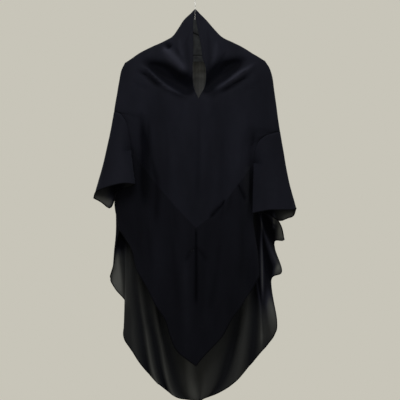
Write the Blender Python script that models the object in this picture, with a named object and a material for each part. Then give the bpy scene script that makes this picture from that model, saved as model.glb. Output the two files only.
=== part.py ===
"""A long khimar veil with sleeves, hung on a plain clothes hanger.

The cloth is one surface, worked out row by row from tables of shares and then cut
into its sewn pieces: hood and yoke, lower front, back, and two sleeves. A row runs
from the garment's edge (shoulder, armhole, side) inwards to its middle line.
Metres, +Z up, the front faces -Y. The origin is where the hook hangs on a rail.
"""

import math

import bpy
import numpy as np

# Driving sizes of the garment, in metres: half its span, its length, the depth that
# stands for a share of 1, the cloth, and the gap left in a seam
HALF_SPAN = 0.31
LENGTH = 1.24
FOLD_DEPTH = 0.10
CLOTH = 0.0015
SEAM_GAP = 0.0003

# Driving sizes of the hanger, in metres
WIRE = 0.0032
HOOK_INSIDE = 0.022
HOOK_END = 200
NECK_BEND = 0.008
BAR_DEEP = 0.010
BAR_TALL = 0.016
BAR_CLEARANCE = 0.0008
BUTT_GAP = 0.0003

# Pieces whose normals agree better than FLAT_SEAM are mitred at their seam. Walls that
# fold back on each other count as no sharper than FOLDED_SEAM. CORNER_BACK is what a
# piece gives way, in metres, where three or more meet.
FLAT_SEAM = 0.85
FOLDED_SEAM = 0.35
CORNER_BACK = 0.0006

# Sizes that follow
DROP = LENGTH / 4
HOOK_RADIUS = HOOK_INSIDE + WIRE / 2
NECK_END = -HOOK_INSIDE - math.sqrt((HOOK_RADIUS + NECK_BEND) ** 2 - NECK_BEND**2)
WRAP = BAR_DEEP / 2 + BAR_CLEARANCE + CLOTH / 2

# Rows between the neck, the chin, the sleeve's top, the armpit, the side point and
# the hem's corner, and the spacing of points along a row, in metres
ROWS_HOOD = 12
ROWS_CHEST = 4
ROWS_ARMHOLE = 7
ROWS_SIDE = 6
ROWS_HEM = 6
ROWS_SLEEVE = 7
SPACING = 0.019
SPACING_PLAIN = 0.034
SPACING_FOLD = 0.030
ROW_ARMHOLE = ROWS_HOOD + ROWS_CHEST
ROW_ARMPIT = ROW_ARMHOLE + ROWS_ARMHOLE
ROW_SIDE = ROW_ARMPIT + ROWS_SIDE

# Every point below is (across, down, deep): across in shares of HALF_SPAN from the
# hook's line, down in shares of DROP from the end of the hook's straight neck, and
# deep in shares of FOLD_DEPTH, negative to the front.
SHOULDER = {
    "left": [
        (-0.04, 0.13, 0), (-0.11, 0.20, 0), (-0.17, 0.29, 0), (-0.23, 0.37, 0),
        (-0.29, 0.405, 0), (-0.32, 0.42, 0), (-0.45, 0.48, 0), (-0.55, 0.53, 0),
        (-0.64, 0.59, 0), (-0.70, 0.63, 0), (-0.735, 0.70, 0), (-0.755, 0.80, 0),
        (-0.78, 0.95, 0), (-0.798, 1.05, 0), (-0.808, 1.115, 0),
    ],
    "right": [
        (0.025, 0.13, 0), (0.12, 0.21, 0), (0.18, 0.28, 0), (0.27, 0.37, 0),
        (0.37, 0.42, 0), (0.50, 0.49, 0), (0.58, 0.54, 0), (0.65, 0.58, 0),
        (0.70, 0.61, 0), (0.745, 0.68, 0), (0.77, 0.76, 0), (0.79, 0.90, 0),
        (0.81, 1.05, 0), (0.83, 1.20, 0), (0.848, 1.31, 0),
    ],
}
COWL_AT = {"left": 9, "right": 8}
ARMHOLE_FRONT = {
    "left": [
        (-0.808, 1.115, 0), (-0.75, 1.135, -0.07), (-0.69, 1.22, -0.09),
        (-0.66, 1.35, -0.08), (-0.645, 1.45, -0.03), (-0.64, 1.50, 0.04),
    ],
    "right": [
        (0.848, 1.31, 0), (0.78, 1.335, -0.06), (0.71, 1.355, -0.09),
        (0.64, 1.41, -0.09), (0.60, 1.50, -0.08), (0.59, 1.58, -0.03), (0.588, 1.63, 0.04),
    ],
}
ARMHOLE_BACK = {
    "left": [
        (-0.808, 1.115, 0), (-0.75, 1.14, 0.07), (-0.69, 1.22, 0.09),
        (-0.66, 1.35, 0.11), (-0.645, 1.45, 0.10), (-0.64, 1.50, 0.04),
    ],
    "right": [
        (0.848, 1.31, 0), (0.78, 1.335, 0.06), (0.71, 1.36, 0.08),
        (0.64, 1.42, 0.09), (0.60, 1.50, 0.11), (0.59, 1.58, 0.10), (0.588, 1.63, 0.04),
    ],
}
SIDE = {
    "left": [
        (-0.64, 1.50, 0.04), (-0.67, 1.55, 0.11), (-0.715, 1.66, 0.15), (-0.76, 1.80, 0.17),
        (-0.81, 1.98, 0.15), (-0.76, 2.30, 0.08),
    ],
    "right": [
        (0.588, 1.63, 0.04), (0.60, 1.68, 0.11), (0.612, 1.76, 0.15), (0.618, 1.87, 0.16),
        (0.62, 2.00, 0.13),
    ],
}
SLIT = {
    "left": [
        (-0.02, 0.12, 0), (-0.02, 0.33, 0), (-0.02, 0.60, 0), (-0.025, 0.70, 0),
        (-0.02, 0.80, 0), (0.0, 0.90, 0), (0.02, 0.98, 0),
    ],
    "right": [
        (0.01, 0.12, 0), (0.035, 0.33, 0), (0.06, 0.45, 0), (0.08, 0.60, 0),
        (0.11, 0.68, 0), (0.115, 0.75, 0), (0.10, 0.84, 0), (0.06, 0.91, 0), (0.02, 0.98, 0),
    ],
}
CHEST_MIDDLE = [(0.02, 0.98, 0), (0.03, 1.20, 0)]
YOKE_MIDDLE = [(0.03, 1.20, 0), (0.03, 1.70, 0), (0.01, 2.28, 0)]
SIDE_MIDDLE = [(0.01, 2.28, 0), (0.01, 2.63, 0)]
HEM_MIDDLE = [(0.01, 2.63, 0), (0.01, 3.64, 0)]
V_SEAM = {
    "left": [(-0.64, 1.50, 0), (-0.40, 1.82, 0), (-0.17, 2.09, 0), (0.01, 2.28, 0)],
    "right": [(0.588, 1.63, 0), (0.43, 1.84, 0), (0.21, 2.12, 0), (0.01, 2.28, 0)],
}
# The front's hem: from the side point to its corner, and from the corner to the tip
FRONT_HEM = {
    "left": [(-0.76, 2.30, 0.08), (-0.70, 2.385, 0.02), (-0.645, 2.47, -0.03), (-0.585, 2.69, -0.09)],
    "right": [
        (0.62, 2.00, 0.13), (0.59, 2.10, 0.06), (0.583, 2.21, -0.02),
        (0.597, 2.34, -0.06), (0.63, 2.56, -0.09), (0.64, 2.75, -0.10),
    ],
}
V_HEM = {
    "left": [
        (-0.585, 2.69, 0), (-0.49, 2.84, 0), (-0.385, 3.04, 0), (-0.29, 3.19, 0),
        (-0.25, 3.33, 0), (-0.17, 3.50, 0), (-0.08, 3.575, 0), (0.01, 3.64, 0),
    ],
    "right": [
        (0.64, 2.75, 0), (0.58, 2.87, 0), (0.50, 2.98, 0), (0.44, 3.07, 0),
        (0.36, 3.18, 0), (0.26, 3.36, 0), (0.18, 3.445, 0), (0.06, 3.576, 0), (0.01, 3.64, 0),
    ],
}
# The back's middle line above the skirt
BACK_MIDDLE = [(-0.005, 0.12, 0), (-0.005, 1.30, 0), (-0.005, 2.30, 0)]
# The back's hem from the side point to its first bulge
BACK_HEM = {
    "left": [(-0.76, 2.30, 0.08), (-0.80, 2.48, 0.08), (-0.815, 2.63, 0.11), (-0.855, 2.77, 0.20)],
    "right": [(0.62, 2.00, 0.13), (0.76, 2.11, 0.13), (0.86, 2.25, 0.15), (0.90, 2.40, 0.24)],
}
# The share of the back skirt's drop at which its edge reaches the side point
SIDE_LEVEL = 0.62
# The skirt of the back, a row for each fold from the side inwards: where it leaves the
# row from armpit to middle (share), its across and deep at half and at four fifths of
# its drop, and its hem point
BACK_FOLDS = {
    "left": [
        (0.047, (-0.770, 0.24), (-0.790, 0.28), (-0.800, 2.91, 0.34)),
        (0.063, (-0.715, 0.26), (-0.710, 0.33), (-0.690, 3.07, 0.40)),
        (0.080, (-0.700, 0.23), (-0.705, 0.17), (-0.720, 3.36, 0.16)),
        (0.095, (-0.675, 0.24), (-0.655, 0.17), (-0.645, 3.50, 0.15)),
        (0.115, (-0.655, 0.23), (-0.625, 0.19), (-0.560, 3.64, 0.16)),
        (0.140, (-0.610, 0.26), (-0.540, 0.34), (-0.450, 3.77, 0.40)),
        (0.170, (-0.570, 0.22), (-0.480, 0.19), (-0.370, 3.85, 0.18)),
        (0.210, (-0.507, 0.26), (-0.400, 0.36), (-0.260, 3.94, 0.42)),
        (0.270, (-0.440, 0.22), (-0.330, 0.20), (-0.200, 3.98, 0.20)),
        (0.350, (-0.400, 0.27), (-0.265, 0.36), (-0.070, 4.01, 0.42)),
        (0.460, (-0.340, 0.24), (-0.170, 0.23), (-0.010, 4.02, 0.22)),
    ],
    "right": [
        (0.045, (0.640, 0.21), (0.735, 0.33), (0.81, 2.51, 0.38)),
        (0.060, (0.655, 0.235), (0.765, 0.21), (0.87, 2.72, 0.14)),
        (0.075, (0.650, 0.275), (0.715, 0.34), (0.77, 2.81, 0.36)),
        (0.092, (0.635, 0.27), (0.745, 0.22), (0.82, 3.22, 0.12)),
        (0.110, (0.620, 0.255), (0.715, 0.23), (0.80, 3.35, 0.16)),
        (0.130, (0.605, 0.27), (0.690, 0.27), (0.74, 3.45, 0.28)),
        (0.155, (0.590, 0.25), (0.665, 0.21), (0.67, 3.52, 0.18)),
        (0.190, (0.570, 0.29), (0.610, 0.36), (0.55, 3.67, 0.40)),
        (0.240, (0.540, 0.25), (0.500, 0.22), (0.41, 3.825, 0.20)),
        (0.300, (0.500, 0.25), (0.430, 0.25), (0.27, 3.925, 0.26)),
        (0.370, (0.450, 0.30), (0.365, 0.38), (0.13, 3.985, 0.42)),
        (0.500, (0.340, 0.27), (0.250, 0.25), (0.08, 4.005, 0.24)),
    ],
}
BACK_TIP = ((-0.005, 0.30), (0.02, 0.30), (0.05, 4.015, 0.30))
# The cuff's hem from the outer fold over the front to the inner fold, and back behind
CUFF_FRONT = {
    "left": [
        (-1.00, 1.98, -0.30), (-0.97, 1.92, -0.44), (-0.91, 1.89, -0.54),
        (-0.80, 1.855, -0.55), (-0.70, 1.835, -0.50), (-0.62, 1.84, -0.42), (-0.59, 1.845, -0.33),
    ],
    "right": [
        (1.00, 2.08, -0.30), (0.95, 2.095, -0.46), (0.84, 2.095, -0.54),
        (0.74, 2.095, -0.54), (0.65, 2.11, -0.46), (0.57, 2.13, -0.32),
    ],
}
CUFF_BACK = {
    "left": [
        (-1.00, 1.98, -0.30), (-0.92, 2.03, -0.10), (-0.85, 2.08, -0.08),
        (-0.81, 2.02, -0.13), (-0.79, 1.93, -0.16), (-0.70, 1.89, -0.19),
        (-0.62, 1.86, -0.24), (-0.59, 1.845, -0.33),
    ],
    "right": [
        (1.00, 2.08, -0.30), (0.965, 2.165, -0.14), (0.92, 2.18, -0.08),
        (0.86, 2.205, -0.08), (0.73, 2.14, -0.12), (0.63, 2.12, -0.18), (0.57, 2.13, -0.32),
    ],
}
# A sleeve's outer fold from the shoulder to the cuff, and its inner fold from the armpit
OUTER_FOLD = {
    "left": [
        (-0.808, 1.115, 0), (-0.85, 1.35, -0.05), (-0.88, 1.50, -0.12),
        (-0.92, 1.68, -0.20), (-0.96, 1.83, -0.26), (-1.00, 1.98, -0.30),
    ],
    "right": [
        (0.848, 1.31, 0), (0.88, 1.50, -0.06), (0.91, 1.70, -0.16),
        (0.94, 1.85, -0.23), (1.00, 2.08, -0.30),
    ],
}
INNER_FOLD = {
    "left": [(-0.64, 1.50, 0.04), (-0.635, 1.56, -0.08), (-0.62, 1.66, -0.19), (-0.59, 1.845, -0.33)],
    "right": [(0.588, 1.63, 0.04), (0.585, 1.69, -0.08), (0.58, 1.82, -0.19), (0.57, 2.13, -0.32)],
}
# How far a sleeve's wall stands off its folds, as a share of FOLD_DEPTH, and the
# distance, in metres, in which it does so
SLEEVE_PUFF = {"front": 0.06, "back": 0.03}
SLEEVE_TURN = 0.010
# The sleeve's depth beside its armhole seam, and how far from the seam it is reached
SLEEVE_SEAM = {"front": -0.07, "back": -0.01}
SLEEVE_FADE = 0.035
# How far the front and the back stand off at the middle, by drop
FRONT_SWELL = [
    (0.12, 0.08), (0.33, 0.14), (0.60, 0.25), (0.98, 0.40), (1.30, 0.42), (2.0, 0.42),
    (2.8, 0.36), (3.64, 0.26),
]
BACK_SWELL = [(0.12, 0.08), (0.33, 0.12), (0.60, 0.20), (1.30, 0.30), (2.30, 0.34), (4.02, 0.32)]
# Where the lower front starts to stand off beside the sleeve, and where it has done so
FRONT_GROOVE = {"left": (-0.62, -0.40), "right": (0.58, 0.42)}
# How far inwards, in metres, the cloth keeps the depth of its edge, and how far to
# either side it turns over at an armhole's seam
EDGE_FADE = 0.07
SEAM_TURN = 0.025
# Creases of the front: their depth (share of FOLD_DEPTH, negative for a roll that
# stands out), their width (share of HALF_SPAN) and their line
FRONT_FOLDS = [
    (-0.07, 0.055, [(-0.32, 0.42), (-0.29, 0.52), (-0.23, 0.60), (-0.15, 0.68), (-0.07, 0.78)]),
    (0.17, 0.070, [(-0.52, 0.64), (-0.40, 0.70), (-0.30, 0.78), (-0.20, 0.865), (-0.02, 0.96)]),
    (-0.06, 0.035, [(-0.57, 0.64), (-0.40, 0.77), (-0.30, 0.86), (-0.17, 0.94), (0.01, 1.01)]),
    (0.04, 0.030, [(-0.58, 0.70), (-0.49, 0.75), (-0.40, 0.83), (-0.33, 0.89)]),
    (0.15, 0.065, [(0.52, 0.60), (0.43, 0.65), (0.33, 0.73), (0.20, 0.83), (0.07, 0.96)]),
    (-0.08, 0.045, [(0.63, 0.62), (0.52, 0.70), (0.43, 0.76), (0.33, 0.83), (0.05, 1.00)]),
    (0.04, 0.035, [(0.61, 0.71), (0.52, 0.77), (0.43, 0.83), (0.35, 0.88), (0.22, 0.96)]),
    (0.07, 0.045, [(-0.55, 1.07), (-0.53, 1.50), (-0.54, 2.15)]),
    (0.03, 0.025, [(-0.46, 1.18), (-0.455, 1.60)]),
    (0.04, 0.030, [(-0.45, 1.50), (-0.37, 1.85), (-0.38, 2.30)]),
    (0.08, 0.040, [(0.58, 1.25), (0.58, 1.60), (0.55, 2.13)]),
    (0.03, 0.022, [(0.01, 2.30), (0.01, 3.00)]),
]
# The brow band behind the face opening: its top, its lower hem, how far it reaches
# behind the edges, and how much deeper its ends lie
BAND_TOP = 0.20
BAND_HEM = 0.63
BAND_TUCK = 0.07
BAND_DROP = 0.03
BAND_GAP = 0.0006
BAND_COLUMNS = 8
BAND_ROWS = 9
# The hanger's arm from its middle to the shoulder, where the cloth rests on it
ARM_MIDDLE = (0.0, 0.29)
ARM_INNER = (0.24, 0.405)
ARM_SHARES = {"left": 0.33, "right": 0.33}
# The arm's tips, past the shoulder's turn: how many rows on, and how slim
TIP_ROWS = 2
TIP_SLIM = 0.8
BAR_SIDES = 12
WIRE_SIDES = 8
BEND_STEPS = 5
HOOK_STEPS = 24

CLOTH_COLOUR = (0.012, 0.013, 0.018, 1)
CLOTH_ROUGHNESS = 0.85
WOOD_COLOUR = (0.035, 0.03, 0.028, 1)
WOOD_ROUGHNESS = 0.5
STEEL_COLOUR = (0.55, 0.55, 0.56, 1)
STEEL_ROUGHNESS = 0.3


def place(points):
    """World places of (across, down, deep) shares."""
    p = np.atleast_2d(np.array(points, float))
    return np.column_stack([p[:, 0] * HALF_SPAN, p[:, 2] * FOLD_DEPTH, NECK_END - p[:, 1] * DROP])


def ease(value, start, end):
    """0 before start, 1 past end, and a smooth rise between them."""
    q = np.clip((np.asarray(value, float) - start) / (end - start), 0, 1)
    return q * q * (3 - 2 * q)


def through(knots, values, at):
    """Values read from the smooth curve through the knots."""
    knots, values, at = (np.array(item, float) for item in (knots, values, at))
    slopes = np.gradient(values, knots, axis=0)
    i = np.clip(np.searchsorted(knots, at, side="right") - 1, 0, len(knots) - 2)
    span = (knots[i + 1] - knots[i])[:, None]
    q = (at - knots[i])[:, None] / span
    flat = values.reshape(len(knots), -1)
    flat_slopes = slopes.reshape(len(knots), -1)
    rise = flat[i] * (2 * q**3 - 3 * q**2 + 1) + flat[i + 1] * (3 * q**2 - 2 * q**3)
    bend = flat_slopes[i] * (q**3 - 2 * q**2 + q) + flat_slopes[i + 1] * (q**3 - q**2)
    return rise + bend * span


def shares_of(points):
    """Each point's share of the way along the line through them."""
    steps = np.linalg.norm(np.diff(np.array(points, float), axis=0), axis=1)
    return np.concatenate([[0], np.cumsum(steps)]) / steps.sum()


def along(points, at):
    """Points at shares of the way along the smooth curve through the given points."""
    return through(shares_of(points), points, at)


def divided(points, count):
    """The curve's points at equal shares, with both ends."""
    return along(points, np.linspace(0, 1, count + 1))


def outer_edge(side, half):
    """The garment's edge from neck to side point, a point for each row."""
    armhole, hem = (ARMHOLE_FRONT, FRONT_HEM) if half == "front" else (ARMHOLE_BACK, BACK_HEM)
    shoulder, turn = SHOULDER[side], COWL_AT[side]
    return np.vstack(
        [
            divided(shoulder[: turn + 1], ROWS_HOOD)[:-1],
            divided(shoulder[turn:], ROWS_CHEST)[:-1],
            divided(armhole[side], ROWS_ARMHOLE)[:-1],
            divided(SIDE[side], ROWS_SIDE)[:-1],
            divided(hem[side], ROWS_HEM),
        ]
    )


def skirt_level(row):
    """The share of the skirt's drop that a row is at, counted from the armpit's row."""
    if row <= ROW_SIDE:
        return SIDE_LEVEL * (row - ROW_ARMPIT) / ROWS_SIDE
    return SIDE_LEVEL + (1 - SIDE_LEVEL) * (row - ROW_SIDE) / ROWS_HEM


def turn_radius(row):
    """How soon, in metres from the edge, a row has turned over to the front or back."""
    return WRAP * (3 if ROW_ARMHOLE < row < ROW_ARMPIT or row > ROW_SIDE else 1)


def crease(across, down, line, width):
    """1 on the line, falling smoothly to 0 beside it and past its ends."""
    ends = shares_of(line)
    best, where = np.full(across.shape, 1e9), np.zeros(across.shape)
    for (ax, az), (bx, bz), start, end in zip(line, line[1:], ends, ends[1:]):
        dx, dz = bx - ax, bz - az
        q = np.clip(((across - ax) * dx + (down - az) * dz) / (dx * dx + dz * dz), 0, 1)
        far = np.hypot(across - ax - q * dx, down - az - q * dz)
        near = far < best
        best = np.where(near, far, best)
        where = np.where(near, start + q * (end - start), where)
    return np.exp(-((best / width) ** 2)) * ease(where, 0, 0.18) * (1 - ease(where, 0.86, 1))


def swell(table, down):
    drops, depths = zip(*table)
    return through(drops, depths, down)[:, 0]


def front_depth(across, down, side, share):
    """How deep the front lies: negative, towards the viewer."""
    start, full = FRONT_GROOVE[side]
    inwards = np.sign(full - start)
    beside_sleeve = ease(across * inwards, start * inwards, full * inwards)
    low = ease(down, 1.20, 1.75)
    stand = (1 - low) * share * (2 - share) + low * beside_sleeve
    rest = WRAP / FOLD_DEPTH
    deep = -rest - (swell(FRONT_SWELL, down) - rest) * stand
    for amount, width, line in FRONT_FOLDS:
        deep = deep + amount * crease(across, down, line, width) * ease(share, 0, 0.15)
    return np.minimum(deep, -rest)


def sample_shares(length, wrap_share, spacing):
    """Where a row's points lie: two in the turn at its edge, the others evenly."""
    turn = [wrap_share * (1 - math.cos(angle)) for angle in (math.pi / 4, math.pi / 2)]
    count = max(1, round(length * (1 - turn[-1]) / spacing))
    if turn[-1] > 0.5:
        return np.linspace(0, 1, count + 2)
    return np.concatenate([[0], turn, turn[-1] + (1 - turn[-1]) * np.arange(1, count + 1) / count])


def turned(inward, radius):
    """0 on the edge and 1 from the radius inwards, as a round turn rises."""
    return np.sqrt(1 - (1 - np.clip(inward / radius, 0, 1)) ** 2)


def inward_normals(edge):
    """The unit normals of the garment's edge, in its plane, pointing into the cloth."""
    flat = place(edge)[:, [0, 2]]
    run = np.gradient(flat, axis=0)
    normals = np.column_stack([run[:, 1], -run[:, 0]])
    normals /= np.linalg.norm(normals, axis=1)[:, None]
    if flat[len(flat) // 2, 0] < 0:
        return -normals
    return normals


def surface_row(side, half, row, edge, normal, middle, bow, spacing):
    """One row of the front or of the upper back, from the edge to the middle line."""
    flat = place([edge, middle])[:, [0, 2]]
    length = float(np.linalg.norm(flat[1] - flat[0]))
    radius = min(turn_radius(row), 0.8 * length)
    slope = max(0.5, float((flat[1] - flat[0]) @ normal) / length)
    shares = sample_shares(length, radius / slope / length, spacing)
    points = edge + (middle - edge) * shares[:, None]
    points[:, :2] += bow(shares)
    w = turned(shares * length * slope, radius)
    w /= w[-1]
    rest = WRAP / FOLD_DEPTH
    sign = -1 if half == "front" else 1
    if half == "front":
        deep = front_depth(points[:, 0], points[:, 1], side, shares)
    else:
        deep = rest + (swell(BACK_SWELL, points[:, 1]) - rest) * shares * (2 - shares)
    near = edge[2] + sign * (SEAM_TURN if ROW_ARMHOLE < row <= ROW_ARMPIT else rest)
    deep = deep + (near - sign * rest) * (1 - ease(shares * length, 0, EDGE_FADE))
    points[:, 2] = deep + (edge[2] - deep[0]) * (1 - w)
    return points, shares


def bow_between(first, last, level):
    """How far a row bows off its straight line, blended between two curved rows."""

    def offset(curve, at):
        p = np.array(curve, float)[:, :2]
        ends = p[0] + (p[-1] - p[0]) * np.asarray(at)[:, None]
        return through(shares_of(p), p, at) - ends

    def bow(at):
        low = offset(last, at) * level
        return low if first is None else low + offset(first, at) * (1 - level)

    return bow


def straight(at):
    """A row that doesn't bow."""
    return np.zeros((len(at), 2))


def front_rows(side):
    """Every row of the front's half, and the shares of its points."""
    edge = outer_edge(side, "front")
    normals = inward_normals(edge)
    middle = np.vstack(
        [
            divided(SLIT[side], ROWS_HOOD)[:-1],
            divided(CHEST_MIDDLE, ROWS_CHEST)[:-1],
            divided(YOKE_MIDDLE, ROWS_ARMHOLE)[:-1],
            divided(SIDE_MIDDLE, ROWS_SIDE)[:-1],
            divided(HEM_MIDDLE, ROWS_HEM),
        ]
    )
    rows = []
    for row, (start, end) in enumerate(zip(edge, middle)):
        if row <= ROW_ARMPIT:
            bow = bow_between(None, V_SEAM[side], (row / ROW_ARMPIT) ** 4)
        else:
            bow = bow_between(V_SEAM[side], V_HEM[side], skirt_level(row) ** 2)
        rows.append(surface_row(side, "front", row, start, normals[row], end, bow, SPACING))
    return rows


def back_rows(side):
    """Every row of the back's half, and the shares of its points."""
    edge = outer_edge(side, "back")
    normals = inward_normals(edge)
    neck, at_sleeve, at_armpit = BACK_MIDDLE
    middle = np.vstack(
        [
            divided([neck, at_sleeve], ROW_ARMHOLE)[:-1],
            divided([at_sleeve, at_armpit], ROWS_ARMHOLE),
        ]
    )
    rows = []
    for row, end in enumerate(middle):
        points = surface_row(side, "back", row, edge[row], normals[row], end, straight, SPACING_PLAIN)
        rows.append(points)
    seat = rows[-1][0]
    for row in range(ROW_ARMPIT + 1, len(edge)):
        rows.append(back_skirt_row(side, edge[row], seat, skirt_level(row)))
    return rows


def fold_shares(side):
    """The shares of a skirt row's points: on each fold, and evenly between folds."""
    folds = [0.0] + [fold[0] for fold in BACK_FOLDS[side]] + [1.0]
    hems = place([BACK_HEM[side][-1]] + [fold[3] for fold in BACK_FOLDS[side]] + [BACK_TIP[2]])
    shares = []
    for start, end, a, b in zip(folds, folds[1:], hems, hems[1:]):
        count = max(1, round(float(np.linalg.norm(b - a)) / SPACING_FOLD))
        shares += [start + (end - start) * step / count for step in range(count)]
    return np.array(shares + [1.0])


def back_skirt_row(side, edge, seat, level):
    """A row of the back's skirt, through its folds at one share of their drop."""
    start, end = seat[0], seat[-1]
    folds = BACK_FOLDS[side] + [(1.0, *BACK_TIP)]
    points = [edge]
    for share, half, low, hem in folds:
        top = start + (end - start) * share
        top_deep = np.interp(share, [0, 0.05, 0.1, 0.5, 1], [start[2], 0.11, 0.14, 0.28, end[2]])
        places = [(top[0], top_deep), half, low, (hem[0], hem[2])]
        across, deep = through([0, 0.5, 0.8, 1], places, [level])[0]
        points.append((across, top[1] + (hem[1] - top[1]) * level, deep))
    shares = fold_shares(side)
    return through([0.0] + [fold[0] for fold in folds], points, shares), shares


def sleeve_wall(side, half):
    """Rows of a sleeve's front or back wall, from its outer fold inwards to the armhole,
    and below the armpit to its inner fold."""
    armhole = (ARMHOLE_FRONT if half == "front" else ARMHOLE_BACK)[side]
    cuff = (CUFF_FRONT if half == "front" else CUFF_BACK)[side]
    below_armpit = divided(INNER_FOLD[side], ROWS_SLEEVE)
    inner_edge = np.vstack([divided(armhole, ROWS_ARMHOLE)[:-1], below_armpit])
    front_seam = divided(ARMHOLE_FRONT[side], ROWS_ARMHOLE)[:-1]
    outer_shares = shares_of(np.vstack([front_seam, below_armpit])[:, :2])
    sign = -1 if half == "front" else 1
    outer_edge_points = along(OUTER_FOLD[side], outer_shares)
    hem = np.array(cuff, float)
    rows = [(inner_edge[:1], np.array([0.0]))]
    for start, end, level in zip(outer_edge_points[1:], inner_edge[1:], outer_shares[1:]):
        length = float(np.linalg.norm(place(end)[0] - place(start)[0]))
        count = max(3, round(length / SPACING) + 2)
        at = (1 - np.cos(np.pi * np.arange(count + 1) / count)) / 2
        bow = along(hem, at) - (hem[0] + (hem[-1] - hem[0]) * at[:, None])
        points = start + (end - start) * at[:, None] + bow * level**2
        seam_deep = SLEEVE_SEAM[half] * (1 - level) + hem[-1][2] * level
        from_seam = ease((1 - at) * length, 0, SLEEVE_FADE)
        points[:, 2] += (seam_deep - end[2]) * at * from_seam
        puff = turned(at * length, SLEEVE_TURN) * turned((1 - at) * length, SLEEVE_TURN)
        points[:, 2] += sign * puff * SLEEVE_PUFF[half] * (1 - level)
        rows.append((points, at))
    return rows


class Garment:
    """One mesh of the whole cloth, whose faces know the piece that they are cut from."""

    def __init__(self):
        self.index, self.points, self.faces, self.pieces = {}, [], [], []

    def vertex(self, point):
        key = tuple(np.round(np.asarray(point) * 1e6).astype(int))
        if key not in self.index:
            self.index[key] = len(self.points)
            self.points.append(point)
        return self.index[key]

    def strip(self, piece, upper, lower, flip):
        """Triangles between two rows, each (points, shares)."""
        a, b = ([self.vertex(p) for p in place(row[0])] for row in (upper, lower))
        sa, sb = list(upper[1]), list(lower[1])
        i = j = 0
        while i < len(a) - 1 or j < len(b) - 1:
            take_a = j == len(b) - 1 or (i < len(a) - 1 and sa[i + 1] <= sb[j + 1])
            face = (a[i], a[i + 1], b[j]) if take_a else (a[i], b[j + 1], b[j])
            if take_a:
                i += 1
            else:
                j += 1
            if len(set(face)) == 3:
                self.faces.append(face[::-1] if flip else face)
                self.pieces.append(piece)


def whole_garment():
    """The cloth of both sides, front, back and sleeves."""
    garment = Garment()
    for side, mirrored in (("left", False), ("right", True)):
        front, back = front_rows(side), back_rows(side)
        for row, (upper, lower) in enumerate(zip(front, front[1:])):
            piece = "front_yoke" if row < ROW_ARMPIT else "front_panel"
            garment.strip(piece, upper, lower, not mirrored)
        for upper, lower in zip(back, back[1:]):
            garment.strip("back_panel", upper, lower, mirrored)
        for half, flip in (("front", not mirrored), ("back", mirrored)):
            wall = sleeve_wall(side, half)
            for upper, lower in zip(wall, wall[1:]):
                garment.strip(f"sleeve_{side}", upper, lower, flip)
    return garment


def unit_normals(points, faces):
    """Area-weighted unit normals of the points."""
    p, f = np.asarray(points), np.asarray(faces)
    cross = np.cross(p[f[:, 1]] - p[f[:, 0]], p[f[:, 2]] - p[f[:, 0]])
    total = np.zeros_like(p)
    for corner in range(3):
        np.add.at(total, f[:, corner], cross)
    return total / np.maximum(np.linalg.norm(total, axis=1), 1e-12)[:, None]


def piece_normals(garment):
    """The unit normals of each piece's own points, and those that its pieces share."""
    own, shared = {}, np.zeros_like(np.array(garment.points))
    for piece in sorted(set(garment.pieces)):
        faces = [face for face, name in zip(garment.faces, garment.pieces) if name == piece]
        own[piece] = unit_normals(garment.points, faces)
        shared += own[piece]
    return own, shared / np.maximum(np.linalg.norm(shared, axis=1), 1e-12)[:, None]


def thick_piece(garment, every, shared, piece):
    """The piece as a closed wall, drawn back from its neighbours at a seam.

    Pieces that meet flat are mitred. Where they meet folded, each keeps its own
    normal, and is drawn back until the walls clear each other.
    """
    faces = [face for face, name in zip(garment.faces, garment.pieces) if name == piece]
    others = {v for face, name in zip(garment.faces, garment.pieces) if name != piece for v in face}
    used = sorted({v for face in faces for v in face})
    number = {v: i for i, v in enumerate(used)}
    p, own, common = np.array(garment.points)[used], every[piece][used], shared[used]
    local = [tuple(number[v] for v in face) for face in faces]
    flatness = np.clip((own * common).sum(axis=1), FOLDED_SEAM, 1)
    flat = flatness > FLAT_SEAM
    n = np.where(flat[:, None], common / flatness[:, None], own)
    inner_side = {}
    for face in local:
        for a, b in zip(face, face[1:] + face[:1]):
            inner_side[(a, b)] = face
    rim = [(a, b) for a, b in inner_side if (b, a) not in inner_side]
    pull, seams = np.zeros_like(p), np.zeros(len(p))
    for a, b in rim:
        if used[a] in others and used[b] in others:
            face = inner_side[(a, b)]
            apex = next(v for v in face if v not in (a, b))
            run = (p[b] - p[a]) / np.linalg.norm(p[b] - p[a])
            inward = (p[apex] - p[a]) - run * ((p[apex] - p[a]) @ run)
            inward /= np.linalg.norm(inward)
            for v in (a, b):
                pull[v] += inward
                seams[v] += 1
    meeting = sum(np.linalg.norm(normals[used], axis=1) > 0.5 for normals in every.values())
    at_seam = seams > 0
    size = np.maximum((pull[at_seam] ** 2).sum(axis=1), 1)
    slant = np.sqrt(1 - flatness**2) / flatness
    back = SEAM_GAP / 2 + np.where(flat, 0, slant * CLOTH / 2)[at_seam]
    back += np.where(meeting > 2, CORNER_BACK, 0)[at_seam]
    p[at_seam] += pull[at_seam] * (back * seams[at_seam] / size)[:, None]
    top, bottom = p + n * CLOTH / 2, p - n * CLOTH / 2
    count = len(p)
    solid = list(local) + [tuple(v + count for v in face[::-1]) for face in local]
    for a, b in rim:
        solid += [(b, a, a + count), (b, a + count, b + count)]
    return add_mesh(piece, np.vstack([top, bottom]), solid)


def add_mesh(name, points, faces):
    mesh = bpy.data.meshes.new(name)
    mesh.from_pydata([tuple(p) for p in points], [], faces)
    mesh.validate()
    obj = bpy.data.objects.new(name, mesh)
    bpy.context.collection.objects.link(obj)
    return obj


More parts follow.
